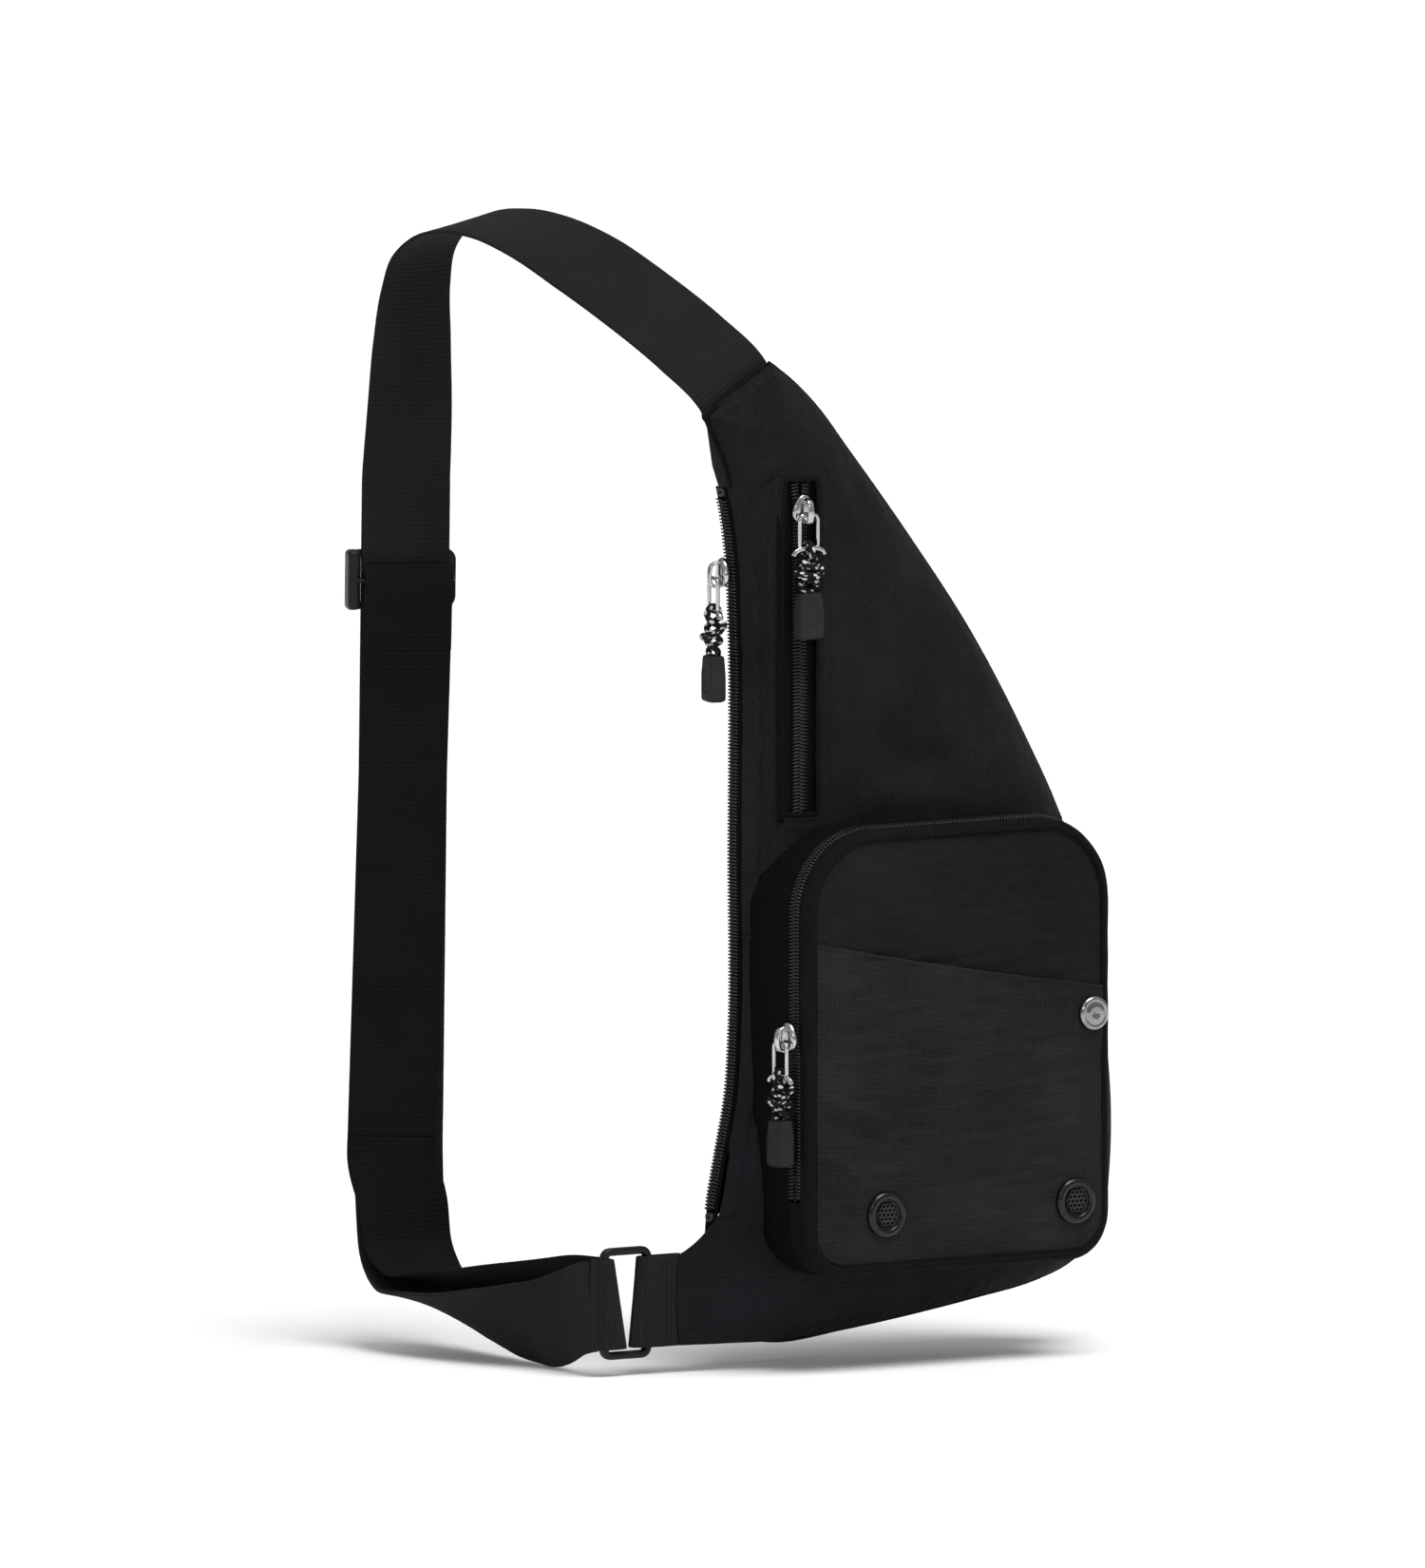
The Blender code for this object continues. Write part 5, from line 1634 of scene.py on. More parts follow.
    def face(self) -> None:
        """The smooth panel above the mouth, the ripstop patch below it, its hem, and the linings."""
        high = self.sheet(120, 130, self.border - 0.3, True)
        y = self.face_y + 0.9 - self.face_relief(high, False) * 0.8
        Dress(NYLON, replaces="pocket_front_panel", toward=FRONT,
              thickness=0.7).put("pocket_face_cloth", at_depth(high, y))
        low = self.sheet(170, 170, self.border - 0.3, False)
        gape = 0.9 * np.exp(-((self.mouth(low[..., 0]) - low[..., 1]) / 9) ** 2) * np.sin(
            math.pi * np.clip((low[..., 0] - self.x + 70) / 140, 0, 1))
        y = self.face_y + 0.3 - self.face_relief(low, True) - gape
        grid = at_depth(low, y)
        Dress(RIPSTOP, replaces="slash_patch", toward=FRONT, thickness=0.8).put("slash_patch_cloth", grid)
        hem = grid[-1] + (0.0, 0.35, 0.0)
        fold = bar(resample(hem, 160), rounded_profile(1.5, 1.5, 0.6, 0, 4), FRONT, closed=False)
        Dress(RIPSTOP).put("mouth_hem", fold)
        front, _ = self.outline(120)
        scale = np.linspace(0.96, 0.02, 24)[None, :, None]
        flat = np.array([self.x, self.z]) + (front[:, None] - (self.x, self.z)) * scale
        near = at_depth(flat, self.face_y + 3.2)
        far = at_depth(flat, self.form.edge - self.form.bulge - 1.0)
        closed = np.concatenate([far[:, ::-1], near], axis=1)
        Dress(LINING, replaces="pocket_lining").put("pocket_lining_bag", rod(np.swapaxes(closed, 0, 1)))

    def hardware(self) -> None:
        """Eyelets with perforated discs, and the plain snap."""
        base = self.face_y - 1.7
        rim = ((6.0, 0.2), (6.0, 1.0), (6.5, 1.5), (7.4, 1.75), (8.3, 1.6), (9.1, 1.0), (9.4, 0.2), (9.4, -0.6),
               (6.0, -0.6))
        for name, x, z in self.eyelets:
            Dress(EYELET, replaces="eyelet_" + name).put(
                "eyelet_ring_" + name, turned(rim, (x, base, z), ring=True))
            Dress(MESH_PLASTIC, replaces="eyelet_mesh_" + name, toward=FRONT,
                  thickness=0.6).put("eyelet_grille_" + name, hex_grille((x, base - 0.55, z), 6.3))
        cap = ((0.0, 1.7), (0.9, 1.75), (1.2, 2.15), (2.6, 2.3), (4.0, 2.1), (4.5, 1.6), (4.9, 1.6), (5.4, 1.95),
               (6.3, 1.7), (6.9, 1.0), (7.1, 0.1), (6.6, -0.5), (0.0, -0.5))
        x, z = self.snap
        Dress(SNAP_METAL, replaces="snap_cap").put("snap_disc", turned(cap, (x, base, z)))
        socket = ((0.0, 0.9), (3.0, 0.9), (5.0, 0.6), (5.0, 0.0), (0.0, 0.0))
        Dress(SNAP_METAL, replaces="snap_socket").put("snap_washer", turned(socket, (x, self.face_y + 2.2, z)))


FACE_CREASES = tuple(Crease(*row) for row in (
    (((8, 150), (18, 147), (32, 149)), 0.6, 2.6),
    (((8, 134), (22, 130), (40, 133)), -0.6, 2.4),
    (((8, 104), (20, 101), (38, 96)), 0.8, 3.0),
    (((8, 96), (22, 92), (44, 84)), -0.9, 2.8),
    (((8, 82), (20, 76), (34, 66)), 0.7, 3.0),
    (((8, 68), (18, 62), (28, 52)), -0.7, 2.6),
    (((10, 48), (20, 42), (34, 38)), 0.5, 3.4),
    (((112, 118), (126, 124), (138, 126)), -0.5, 3.0),
    (((104, 112), (122, 114), (142, 118)), 0.5, 3.4),
    (((148, 56), (144, 50), (140, 42)), 0.6, 1.8),
    (((60, 110), (86, 104), (112, 108)), 0.35, 7.0),
    (((56, 76), (84, 70), (118, 76)), -0.4, 7.0),
))


def face_outward(obj: bpy.types.Object, centre: Numbers) -> None:
    """Turn an open band's faces away from a centre, and give it a cloth's thickness.

    Args:
        obj: A band round the centre.
        centre: A point of the bag's frame inside it.
    """
    mesh = obj.data
    count = len(mesh.polygons)
    normal = np.empty(count * 3)
    middle = np.empty(count * 3)
    mesh.polygons.foreach_get("normal", normal)
    mesh.polygons.foreach_get("center", middle)
    away = middle.reshape(-1, 3) - np.array(world(centre))
    away[:, 1] = 0
    if (normal.reshape(-1, 3) * away).sum() < 0:
        mesh.flip_normals()
    solid = obj.modifiers.new("Cloth", "SOLIDIFY")
    solid.thickness = 0.5 * MM
    solid.offset = -1.0


def turned(profile: Sequence[Numbers], at: Numbers, ring: bool = False,
           sides: int = 56) -> Shape:
    """A turned piece whose axis points out of the front: radius (cos a, sin a), height toward -Y.

    Args:
        profile: (radius, height) points.
        at: Middle of its base.
        ring: Whether there is a hole in its middle.
        sides: Steps round the axis.

    Returns:
        The closed shape.
    """
    line = np.array(profile, float)
    if not ring:
        line[0, 0] = line[-1, 0] = 0.02
    turn = np.arange(sides) * math.tau / sides
    radius, height = line[:, 0], line[:, 1]
    grid = np.stack([np.cos(turn)[None] * radius[:, None], -height[:, None] * np.ones((1, sides)),
                     np.sin(turn)[None] * radius[:, None]], axis=-1) + np.array(at)
    return Shape().grid(grid, around=True, loop=ring, caps=not ring)


def hex_grille(at: Numbers, radius: float, pitch: float = 2.05, hole: float = 0.7) -> Shape:
    """A disc of hexagonal cells, each a ring of six quads round its hole.

    Args:
        at: Middle of the disc.
        radius: Radius up to the plain rim.
        pitch: From hole to hole.
        hole: Hole size as a share of the cell.

    Returns:
        An open sheet.
    """
    step = np.arange(-4, 5)
    a, b = np.meshgrid(step, step)
    middle = np.stack([(a + b / 2).ravel() * pitch, (b * math.sqrt(3) / 2).ravel() * pitch], axis=1)
    middle = middle[np.linalg.norm(middle, axis=1) < radius - 1.2]
    corner = np.radians(np.arange(6) * 60 + 30)
    ring = at_depth(np.stack([np.cos(corner), np.sin(corner)], axis=1), 0.0) * pitch / math.sqrt(3)
    base = np.vstack([ring, ring * hole])
    index = np.hstack([np.arange(12).reshape(2, 6), [[0], [6]]])
    place = at_depth(middle, 0.0) + np.array(at)
    axes = [np.broadcast_to(axis, place.shape) for axis in np.eye(3)]
    shape = Shape().copies(base, cells(index), place, axes)
    turn = np.arange(48) * math.tau / 48
    radii = np.array([radius - 1.0, radius + 0.4])[:, None]
    rim = np.stack([np.cos(turn) * radii, np.full((2, 48), 0.2), np.sin(turn) * radii], axis=-1) + np.array(at)
    return shape.grid(rim, around=True)


# Webbing and buckles

STRAP_RISE = (
    ((2.4, -2.6, 385.0), (0.86, 0.0, 0.51)), ((-2.4, -2.4, 392.5), (0.86, 0.0, 0.51)),
    ((-11, 14, 408), (0.86, 0.04, 0.52)), ((-21, 37, 424), (0.87, 0.04, 0.49)),
    ((-30, 59, 437), (0.89, 0.03, 0.46)),
    ((-38, 83, 447), (0.94, 0.1, 0.32)), ((-44, 101, 451), (0.95, 0.21, 0.22)),
    ((-48, 117, 450.5), (0.94, 0.3, 0.14)), ((-52, 132, 445), (0.95, 0.28, 0.05)),
    ((-54, 141, 436), (0.97, 0.2, 0.03)), ((-55, 145, 422), (0.99, 0.12, 0.0)),
    ((-55.5, 147, 400), (0.99, -0.05, 0.0)), ((-56, 148, 372), (0.97, -0.22, 0.0)),
)
STRAIGHT_TOP = (-57.0, 149.0, 345.0)
STRAIGHT_LOW = (-60.0, 150.0, 70.0)
STRAIGHT_WIDTH = (0.937, -0.35, -0.009)
OUTER_RETURN = (
    ((-60, 149, 48), (0.93, -0.37, 0.0)), ((-61, 145, 29), (0.94, -0.33, 0.03)),
    ((-65, 131, 16), (0.97, -0.15, -0.05)), ((-68, 109, 10), (0.9, 0.04, -0.4)),
    ((-68, 87, 8), (0.78, 0.2, -0.59)), ((-68, 68, 8), (0.6, 0.22, -0.77)),
    ((-67, 50, 9), (0.4, 0.2, -0.89)), ((-66.5, 35, 10.6), (0.2, 0.14, -0.97)),
    ((-66, 23, 14.6), (0.05, 0.05, -1.0)), ((-66.4, 14, 17.8), (0.0, 0.0, -1.0)),
    ((-66.7, 3.4, 20.2), (0.0, 0.0, -1.0)),
)
INNER_RETURN = (
    ((-62, 144, 50), (0.93, -0.37, 0.0)), ((-62, 140, 33), (0.95, -0.3, 0.03)),
    ((-64, 126, 23), (0.97, -0.15, -0.05)), ((-65, 107, 19), (0.9, 0.04, -0.4)),
    ((-65, 87, 17.5), (0.78, 0.18, -0.59)), ((-64, 68, 17.5), (0.6, 0.2, -0.77)),
    ((-62.5, 50, 18), (0.4, 0.18, -0.9)), ((-61, 36, 19), (0.2, 0.12, -0.97)),
    ((-60.5, 24, 20.5), (0.05, 0.05, -1.0)), ((-60.6, 9.5, 21), (0.0, 0.0, -1.0)),
    ((-60.4, 3.4, 21), (0.0, 0.0, -1.0)),
)


@dataclass
class Webbing:
    """The strap: one length of webbing up over the shoulder, down, round the ring and back up."""

    width: float = 37.0
    thickness: float = 1.6
    layer_step: float = 4.2
    layer_shift: float = 4.2
    glide_z: float = 303.0
    ring_x: float = -53.0
    ring_z: float = 21.0
    ring_bar: float = 10.65
    slack: float = 6.4
    seam_half: float = 16.5

    def straight(self) -> tuple[Array, Array, Array]:
        """Run, width and inward directions of the straight stretch."""
        run = unit(np.subtract(STRAIGHT_LOW, STRAIGHT_TOP))
        across = unit(np.array(STRAIGHT_WIDTH) - np.dot(STRAIGHT_WIDTH, run) * run)
        return run, across, np.cross(run, across)

    def straight_point(self, z: float) -> Array:
        """The point of the straight stretch at a height."""
        share = (STRAIGHT_TOP[2] - z) / (STRAIGHT_TOP[2] - STRAIGHT_LOW[2])
        return np.array(STRAIGHT_TOP) * (1 - share) + np.array(STRAIGHT_LOW) * share

    def ribbon(self, stations: Sequence, count: int) -> Array:
        """The section along a smooth curve through stations, its width kept square to the curve.

        Args:
            stations: (centre, width direction) pairs.
            count: Rows along the ribbon.

        Returns:
            Grid of the ribbon.
        """
        centers = smooth_curve([station[0] for station in stations], count)
        given = np.array([station[0] for station in stations], float)
        reach = run_length(given)
        even = np.linspace(0, reach[-1], count)
        ways = np.array([station[1] for station in stations], float)
        across = read_off(even, reach, ways)
        kernel = np.hanning(2 * (count // 22) + 3)
        kernel = kernel / kernel.sum()
        pad = len(kernel) // 2
        padded = np.pad(across, ((pad, pad), (0, 0)), "edge")
        across = np.stack([np.convolve(axis, kernel, "valid") for axis in padded.T], axis=1)
        tangent = unit(np.gradient(centers, axis=0))
        across = unit(across - (across * tangent).sum(1, keepdims=True) * tangent)
        return strip(centers, across, self.section())

    def section(self) -> Array:
        """The webbing's cross-section: flat, with rounded selvedges."""
        return rounded_profile(self.width, self.thickness, 0.7, flat=9, steps=4)

    def put(self, name: str, grid: Array, dress: Dress) -> None:
        """Make one length of webbing, capped at both ends."""
        dress.put(name, rod(grid))

    def build(self) -> None:
        """Make the strap's lengths, its sewn end, its turn round the ring and the ring's tab."""
        _, across, inward = self.straight()
        top = ((STRAIGHT_TOP, STRAIGHT_WIDTH),)
        low = ((STRAIGHT_LOW, STRAIGHT_WIDTH),)
        near_low = (tuple(self.straight_point(92.0)), STRAIGHT_WIDTH)
        rise = self.ribbon(STRAP_RISE + top, 260)
        long = self.ribbon((top[0], near_low), 90)
        self.put("shoulder_strap_webbing", np.vstack([rise, long[1:]]),
                 Dress(WEBBING, replaces="shoulder_strap"))
        bend = ("bag", "ring", (-66.0, 88.0, 20.0), (-66.0, 8.0, 20.0))
        outer = self.ribbon((near_low,) + low + OUTER_RETURN, 260)
        self.put("strap_outer_tail", outer, Dress(WEBBING, bend=bend))
        inner_top = self.straight_point(self.glide_z - 23.5) + inward * self.layer_step
        inner_low = np.array(STRAIGHT_LOW) + inward * self.layer_step - across * self.layer_shift
        cut = inner_low + (inner_top - inner_low) * 0.03
        upper = self.ribbon(((tuple(inner_top), STRAIGHT_WIDTH), (tuple(cut), STRAIGHT_WIDTH)), 110)
        self.put("strap_return_upper", upper, Dress(
            SHADED_WEBBING, Slot.WEBBING, replaces="strap_return",
            bend=("bag", "tri_glide", tuple(cut), tuple(inner_top))))
        inner = self.ribbon(((tuple(cut), STRAIGHT_WIDTH), (tuple(inner_low), STRAIGHT_WIDTH)) + INNER_RETURN,
                            260)
        self.put("strap_return_lower", inner, Dress(SHADED_WEBBING, bend=bend))
        self.ring_turn()
        self.tab()
        self.end_loop()

    def low_share(self, z: Array) -> Array:
        """How far down the ring's height a point is, from 0 at its top to 1 at its bottom."""
        return np.clip((self.ring_z + self.width / 2 - z) / self.width, 0, 1)

    def ring_turn(self) -> None:
        """The half turn round the ring's left bar: bar + 3.5 (cos a, sin a)."""
        x = self.ring_x - self.ring_bar
        turn = np.radians(np.linspace(180, 360, 40))
        arc = np.stack([x + 3.45 * np.cos(turn), 3.45 * np.sin(turn), np.full(40, self.ring_z)], axis=1)
        rows = np.vstack([[x - 3.05, 3.6, self.ring_z], [x - 3.3, 2.0, self.ring_z], arc[1:-1],
                          [x + 3.3, 2.0, self.ring_z], [x + 3.25, 3.6, self.ring_z]])
        rows = smooth_curve(rows, 80)
        grid = strip(rows, DOWN, self.section())
        grid[..., 0] += self.slack * smooth_step(grid[..., 0], x - 2.5, x + 3.5) * self.low_share(grid[..., 2])
        self.put("strap_ring_turn", grid, Dress(WEBBING, body="ring", replaces="strap_ring_fold"))

    def tab(self) -> None:
        """The short tab folded round the ring's right bar and sewn into the wing."""
        x = self.ring_x + self.ring_bar
        turn = np.radians(np.linspace(90, 270, 40))
        arc = np.stack([x + 3.9 * np.cos(turn), -3.2 * np.sin(turn)], axis=1)
        flat = np.vstack([[(-24.5, -2.6)], [(-30, -3.1)], [(-36, -3.2)], arc, [(-36, 3.2)], [(-30, 3.1)],
                          [(-24.5, 2.6)]])
        path = smooth_curve(np.column_stack([flat, np.full(len(flat), self.ring_z)]), 150)
        grid = strip(path, DOWN, self.section())
        grid[..., 0] -= self.slack * smooth_step(-grid[..., 0], 2.5 - x, 6.0 - x) * self.low_share(grid[..., 2])
        self.put("ring_tab_webbing", grid, Dress(WEBBING, replaces="ring_tab"))
        z = self.ring_z + self.seam_half * np.linspace(-1, 1, 30)
        lines = [np.stack([np.full(30, x_at), np.full(30, -4.0), z], axis=1) for x_at in (-35.6, -33.2)]
        put_stitches("ring_tab_stitches", lines, FRONT, 2.6, 2.0, Slot.WEBBING)

    def end_loop(self) -> None:
        """The strap's sewn end, round the adjuster's bar, with its stitch line."""
        run, across, inward = self.straight()
        centre = self.straight_point(self.glide_z)
        loop = ((-28.5, 4.5), (-20, 4.9), (-12.0, 5.2), (-5.0, 6.9), (0.0, 7.3), (3.6, 6.6), (5.4, 4.9),
                (5.2, 3.2))
        path = smooth_curve(np.array([centre - run * a + inward * b for a, b in loop]), 90)
        self.put("strap_end_webbing", strip(path, across, self.section()),
                 Dress(SHADED_WEBBING, body="tri_glide", replaces="strap_end_loop"))
        share = self.seam_half * np.linspace(-1, 1, 30)[:, None]
        lines = [centre + run * down + inward * out + across * share for down, out in ((25.5, 5.5), (22.5, 5.6))]
        put_stitches("strap_end_stitches", lines, inward, 2.6, 2.1, Slot.WEBBING, "tri_glide")


@dataclass
class Buckles:
    """The moulded adjuster and the rectangular ring."""

    strap: Webbing

    def build(self) -> None:
        """Make both buckles."""
        run, across, inward = self.strap.straight()
        centre = self.strap.straight_point(self.strap.glide_z) - across * 1.2 - inward * 2.35

        def laid(points: Array) -> Array:
            """Local (width, height, outward) to the strap's place."""
            return centre + points[..., :1] * across - points[..., 1:2] * run + points[..., 2:] * inward

        path = rounded_path(42.7, 21.2, 3.2, 140)
        frame = bar(np.hstack([path, np.zeros((140, 1))]), rounded_profile(3.3, 2.4, 0.9, 1, 4), (0, 0, 1))
        Dress(BUCKLE, body="tri_glide", replaces="tri_glide").put("tri_glide_frame", frame.mapped(laid))
        staple = np.array([(-20.0, 0, 0.2), (-20.2, 0, 1.6), (-19.9, 0, 3.0), (-18.6, 0, 3.9), (-10, 0, 4.3),
                           (10, 0, 4.3), (18.6, 0, 3.9), (19.9, 0, 3.0), (20.2, 0, 1.6), (20.0, 0, 0.2)])
        middle = bar(smooth_curve(staple, 120), rounded_profile(4.6, 1.7, 0.7, 1, 4), (0, 1, 0), closed=False)
        Dress(BUCKLE, body="tri_glide").put("tri_glide_bar", middle.mapped(laid))
        share = np.linspace(-1, 1, 40)
        post = np.stack([np.full(40, -20.4), 12.2 * share, np.full(40, 1.3)], axis=1)
        size = 0.55 + 0.45 * np.sqrt(1 - np.clip((np.abs(share) - 0.8) / 0.2, 0, 1) ** 2)
        across_post, normal_post = path_frame(post, (0, 0, 1))
        outline = rounded_profile(5.2, 8.6, 1.7, 1, 5) * size[:, None, None]
        plate = rod(swept(post, across_post, normal_post, outline))
        Dress(BUCKLE, body="tri_glide").put("tri_glide_end_plate", plate.mapped(laid))
        path = rounded_path(21.3, 42.3, 3.0, 140)
        place = at_depth(path + (self.strap.ring_x, self.strap.ring_z), 0.0)
        ring = bar(place, rounded_profile(3.2, 3.7, 1.1, 1, 4), FRONT)
        Dress(BUCKLE, body="ring", replaces="square_ring").put("rectangular_ring", ring)


# Zip pulls

@dataclass
class Pull:
    """One zip pull in its own frame, where -Y points out of the bag, set on its zip and turned."""

    prefix: str
    at: Triple
    turn: float
    out: float = -6.7
    hinge: float = -1.9

    def placed(self, points: Array) -> Array:
        """Points turned about Z and moved to the pull's place."""
        angle = math.radians(self.turn)
        c, s = math.cos(angle), math.sin(angle)
        x, y = points[..., 0], points[..., 1]
        return np.stack([x * c - y * s, x * s + y * c, points[..., 2]], axis=-1) + np.array(self.at)

    def put(self, part: str, shape: Shape, finish: Finish, body: str, node: str = "") -> None:
        """Make one piece of the pull on its body."""
        Dress(finish, body=f"{self.prefix}_{body}", replaces=node and f"{self.prefix}_{node}").put(
            f"{self.prefix}_pull_{part}", shape.mapped(self.placed))

    def build(self) -> None:
        """Make the slider, the link, the cord and the moulded end."""
        self.slider()
        self.link()
        self.cord()
        self.end()

    def slider(self) -> None:
        """An egg-shaped slider, domed by sqrt(1 - r^2), with an arched bail over the link's bar."""
        angle = np.arange(44) * math.tau / 44
        edge = np.stack([5.2 * np.cos(angle) * (1 - 0.2 * np.sin(angle)), 6.1 * np.sin(angle) + 0.3], axis=1)
        rings = [(0.02, -1.9), (0.8, -1.9), (0.97, -2.1), (1.0, -2.5), (1.0, -3.0), (0.97, -3.35)]
        rings += [(math.sin(a), -3.3 - 1.3 * math.cos(a)) for a in np.radians(np.linspace(72, 2, 9))]
        grid = np.stack([at_depth(edge * r, y) for r, y in rings])
        self.put("slider", rod(grid), METAL, "slider", "slider")
        arch = smooth_curve(((0, -3.6, 4.3), (0, -5.8, 4.2), (0, -7.8, 3.0), (0, -8.45, 0.6), (0, -8.4, -2.4),
                             (0, -7.6, -4.6), (0, -5.6, -5.4), (0, -3.6, -5.0)), 60)
        bail = strip(arch, (1, 0, 0), rounded_profile(2.7, 1.3, 0.6, 1, 4))
        self.put("bail", rod(bail), METAL, "slider")

    def link(self) -> None:
        """A bent frame through the bail and a bell-shaped skirt below it."""
        path = rounded_path(8.9, 13.9, 1.9, 90)
        frame = at_depth(path + (0, self.hinge - 6.95), self.out)
        self.put("link", bar(frame, circle(0.82, 10), FRONT), METAL, "link", "link")
        skirt = np.array(((-7.6, -16.2), (-6.9, -14.9), (-5.0, -13.9), (0, -13.6), (5.0, -13.9), (6.9, -14.9),
                          (7.6, -16.2)))
        path = smooth_curve(at_depth(skirt + (0, self.hinge), self.out), 60)
        self.put("bell", bar(path, rounded_profile(2.0, 2.2, 0.8, 1, 4), FRONT, closed=False), METAL, "link")

    def cord(self) -> None:
        """Two strands that wind about each other, over the link's bar, and one wrap that knots them."""
        s = np.linspace(0, 1, 60)
        angle = math.pi / 2 + math.tau * 1.5 * (1 - s)
        wide = 1.8 + 3.4 * np.sin(math.pi * s ** 0.8) ** 1.2 * (1 - 0.5 * s)
        deep = 1.5 + 0.9 * s + 0.5 * np.sin(math.pi * s)
        height = -31.6 + 15.6 * s
        one = np.stack([wide * np.cos(angle), deep * np.sin(angle), height], axis=1)
        two = one * (-1, -1, 1)
        over = np.array([(0, 2.55, -14.2), (0, 1.9, -12.3), (0, 0.0, -11.45), (0, -1.9, -12.3),
                         (0, -2.55, -14.2)])
        path = smooth_curve(np.vstack([one[::3], over, two[::-1][::3]]), 260)
        base = np.array([0.0, self.out, self.hinge])
        across, normal = carried_frame(path)
        shape = rod(swept(path + base, across, normal, circle(1.3, 10)))
        beta = np.arange(70) * math.tau / 70
        wrap = np.stack([5.4 * np.cos(beta), 4.2 * np.sin(beta), -22.4 + 2.6 * np.sin(beta + 0.7)
                         + 1.2 * np.sin(2 * beta)], axis=1)
        across, normal = path_frame(wrap, (0, 0, 1), closed=True)
        shape.grid(swept(wrap + base, across, normal, circle(1.28, 10)), around=True, loop=True)
        self.put("cord", shape, CORD, "tail", "cord")

    def end(self) -> None:
        """A moulded end: squarish sections that swell a little downward, with a sunk plain panel."""
        share = np.linspace(0, 1, 40)
        height = -31.2 - 19.2 * share
        round_off = np.clip(np.minimum(share / 0.07, (1 - share) / 0.09), 0, 1)
        size = 0.62 + 0.38 * np.sqrt(1 - (1 - round_off) ** 2)
        turn = np.arange(48) * math.tau / 48
        power = 2 / 4.5
        x = np.sign(np.cos(turn)) * np.abs(np.cos(turn)) ** power
        y = np.sign(np.sin(turn)) * np.abs(np.sin(turn)) ** power
        wide = (5.0 + 0.8 * smooth_step(share, 0.0, 0.5)) * size
        deep = (3.4 + 0.4 * smooth_step(share, 0.0, 0.5)) * size
        flat = np.stack([x[None] * wide[:, None], y[None] * deep[:, None],
                         np.broadcast_to(height[:, None], (40, 48))], axis=-1)
        sunk = (smooth_step(-flat[..., 1], 2.6, 3.2) * smooth_step(3.6 - np.abs(flat[..., 0]), 0, 0.6)
                * smooth_step(5.6 - np.abs(height + 41.0), 0, 0.8)[:, None])
        flat[..., 1] += 0.45 * sunk
        grid = flat + np.array([0.0, self.out, self.hinge])
        self.put("end", rod(grid), RUBBER, "tail", "end")


# Studio

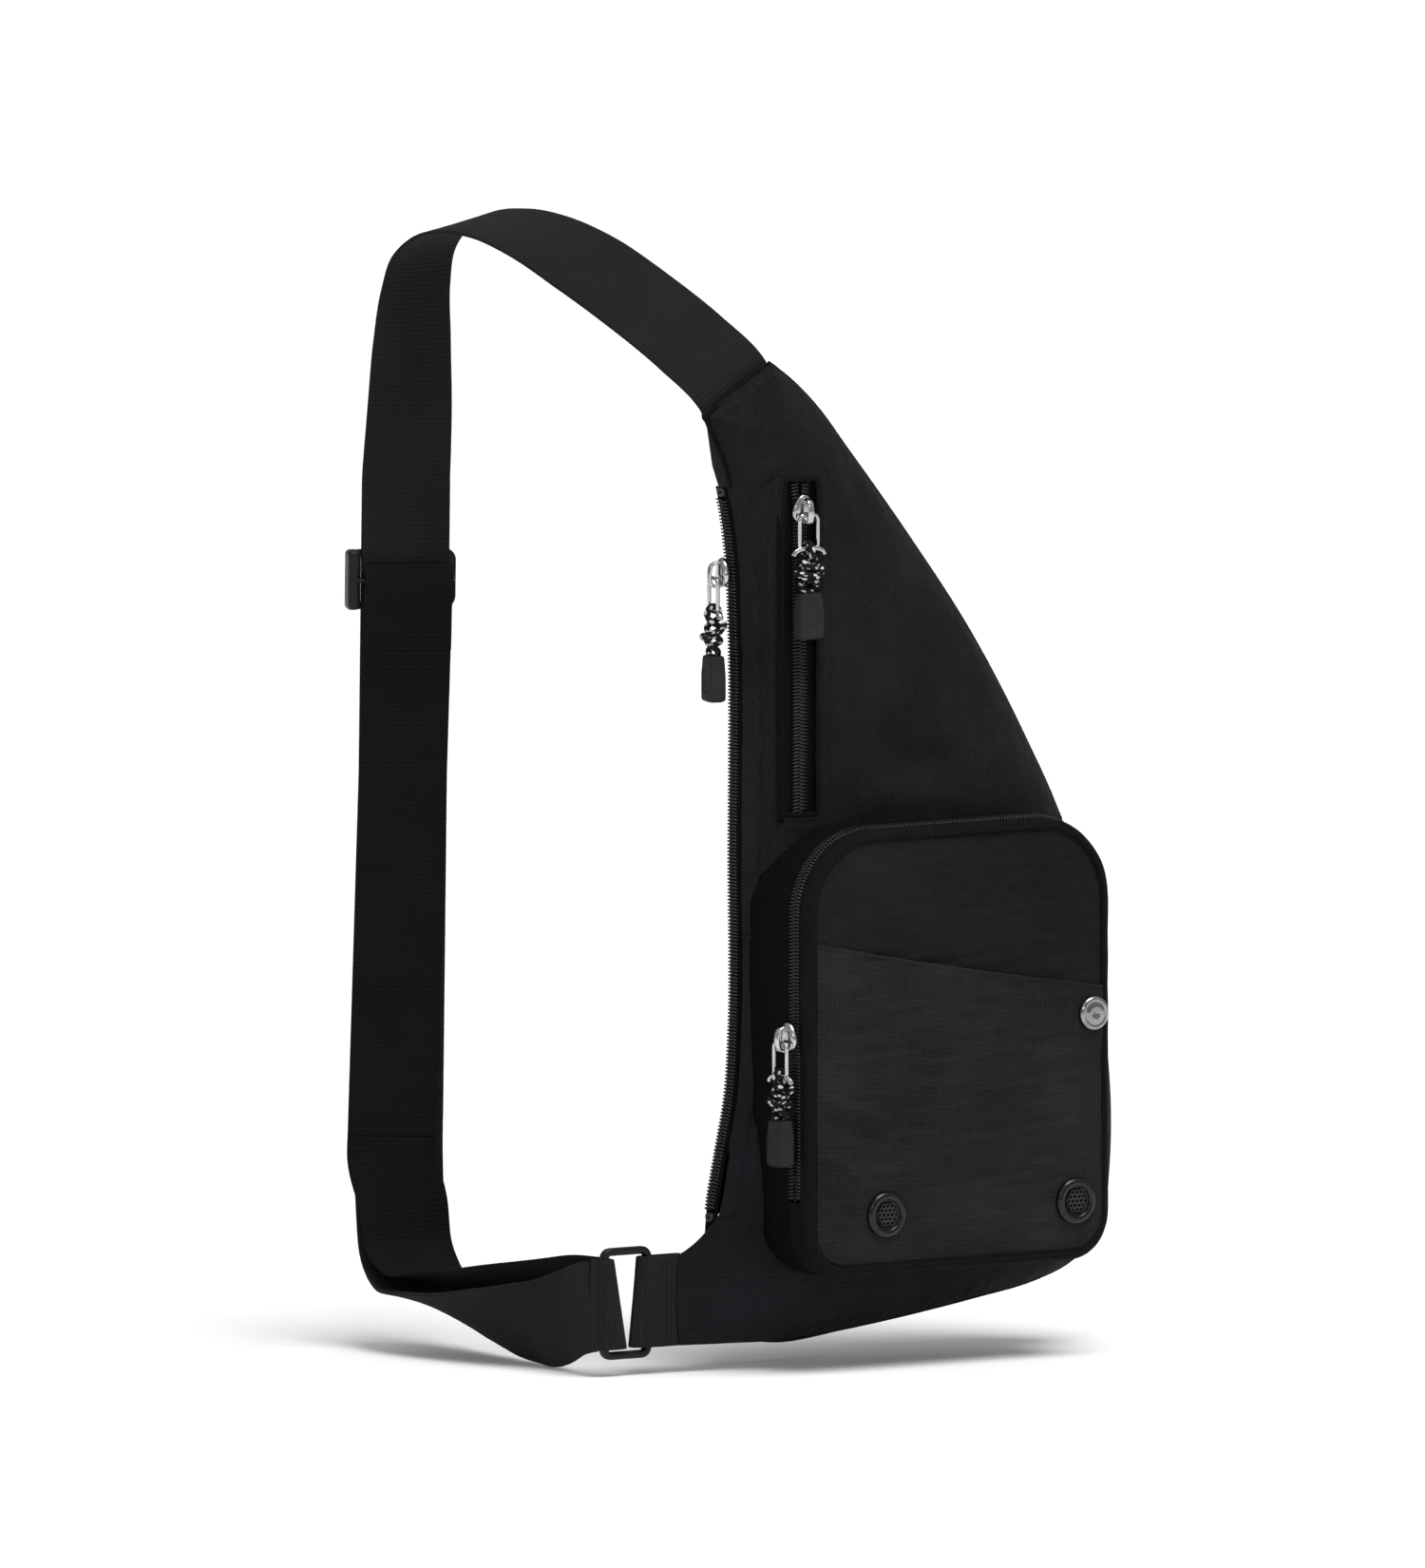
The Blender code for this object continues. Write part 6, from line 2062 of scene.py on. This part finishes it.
@dataclass
class Studio:
    """Floor, soft lights and the camera at the wanted viewing angle."""

    azimuth: float = -35.0
    elevation: float = 6.0
    view_height: float = 0.6346
    aim_right: float = 0.0921
    aim_up: float = -0.2260
    distance: float = 4.0
    room: tuple[float, float] = (0.3, 0.58)
    sun_from: Triple = (0.05, -0.34, 0.94)
    sun_strength: float = 2.4
    sun_softness: float = 36.0
    glint_from: Triple = (-1.0, -1.6, 0.5)
    glint_at: Triple = (0.1, 0.0, -0.25)
    glint_size: float = 0.25
    glint_power: float = 4.0
    floor_half: float = 12.0
    floor_gap: float = 0.0006

    def build(self) -> None:
        """Make the floor, the lights and the camera."""
        self.floor()
        self.lights()
        self.camera()

    def floor(self) -> None:
        """A plain pale floor just under the lowest point."""
        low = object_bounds()[0].z - self.floor_gap
        size = self.floor_half
        mesh = bpy.data.meshes.new("floor")
        mesh.from_pydata([(-size, -size, low), (size, -size, low), (size, size, low), (-size, size, low)], [],
                         [(0, 1, 2, 3)])
        floor = linked("floor", mesh)
        material = bpy.data.materials.new("pale_floor")
        nodes = Nodes(material)
        nodes.shader.inputs["Base Color"].default_value = (0.93, 0.93, 0.93, 1.0)
        nodes.shader.inputs["Roughness"].default_value = 1.0
        nodes.shader.inputs["Specular IOR Level"].default_value = 0.0
        mesh.materials.append(material)
        floor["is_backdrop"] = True

    def aimed(self, name: str, data: bpy.types.ID, place: Vector, ahead: Vector) -> bpy.types.Object:
        """A light or a camera at a place that looks along a direction."""
        obj = linked(name, data)
        obj.location = place
        obj.rotation_mode = "QUATERNION"
        obj.rotation_quaternion = ahead.to_track_quat("-Z", "Y")
        return obj

    def lights(self) -> None:
        """A room that brightens upward, a broad key from the upper front and a small light for glints."""
        room = bpy.data.worlds.new("soft_room")
        bpy.context.scene.world = room
        nodes = Nodes(room)
        height = nodes.split(nodes.add("TexCoord", {}).outputs["Generated"])["Z"]
        tone = nodes.ramp(height, *((level,) * 3 for level in self.room))
        nodes.tree.links.new(tone, nodes.shader.inputs["Color"])
        sun = bpy.data.lights.new("key", "SUN")
        sun.energy = self.sun_strength
        sun.angle = math.radians(self.sun_softness)
        self.aimed("key", sun, Vector(), -Vector(self.sun_from))
        glint = bpy.data.lights.new("glint", "AREA")
        glint.size = self.glint_size
        glint.energy = self.glint_power
        place = Vector(self.glint_from)
        self.aimed("glint", glint, place, Vector(self.glint_at) - place)

    def camera(self) -> None:
        """A camera without perspective, aimed so that the bag lies as it should in the frame."""
        a, e = math.radians(self.azimuth), math.radians(self.elevation)
        back = Vector((math.sin(a) * math.cos(e), -math.cos(a) * math.cos(e), math.sin(e)))
        right = Vector((math.cos(a), math.sin(a), 0.0))
        up = back.cross(right)
        data = bpy.data.cameras.new("camera")
        data.type = "ORTHO"
        data.ortho_scale = self.view_height
        data.clip_end = 40.0
        place = right * self.aim_right + up * self.aim_up + back * self.distance
        bpy.context.scene.camera = self.aimed("camera", data, place, -back)


def corners(box: tuple[Vector, Vector]) -> list[list[float]]:
    """A box's two corners as plain lists."""
    return [[round(value, 6) for value in corner] for corner in box]


def main() -> None:
    """Load the frame and build each sub-assembly in order."""
    logging.basicConfig(level=logging.INFO, format="%(message)s")
    for obj in list(bpy.data.objects):
        bpy.data.objects.remove(obj)
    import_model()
    form = BodyForm()
    window = Window()
    Body(form, window).build()
    MainZip(form).build()
    SlitZip(form, window).build()
    Pocket(form).build()
    strap = Webbing()
    strap.build()
    Buckles(strap).build()
    for pull in (Pull("main", (-1.6, 0.4, 315.0), -102), Pull("slit", (21.0, -17.1, 341.0), 0),
                 Pull("pocket", (3.4, -38.6, 129.0), -90)):
        pull.build()
    Studio().build()
    bpy.context.scene.view_settings.view_transform = "Standard"


if __name__ == "__main__":
    main()
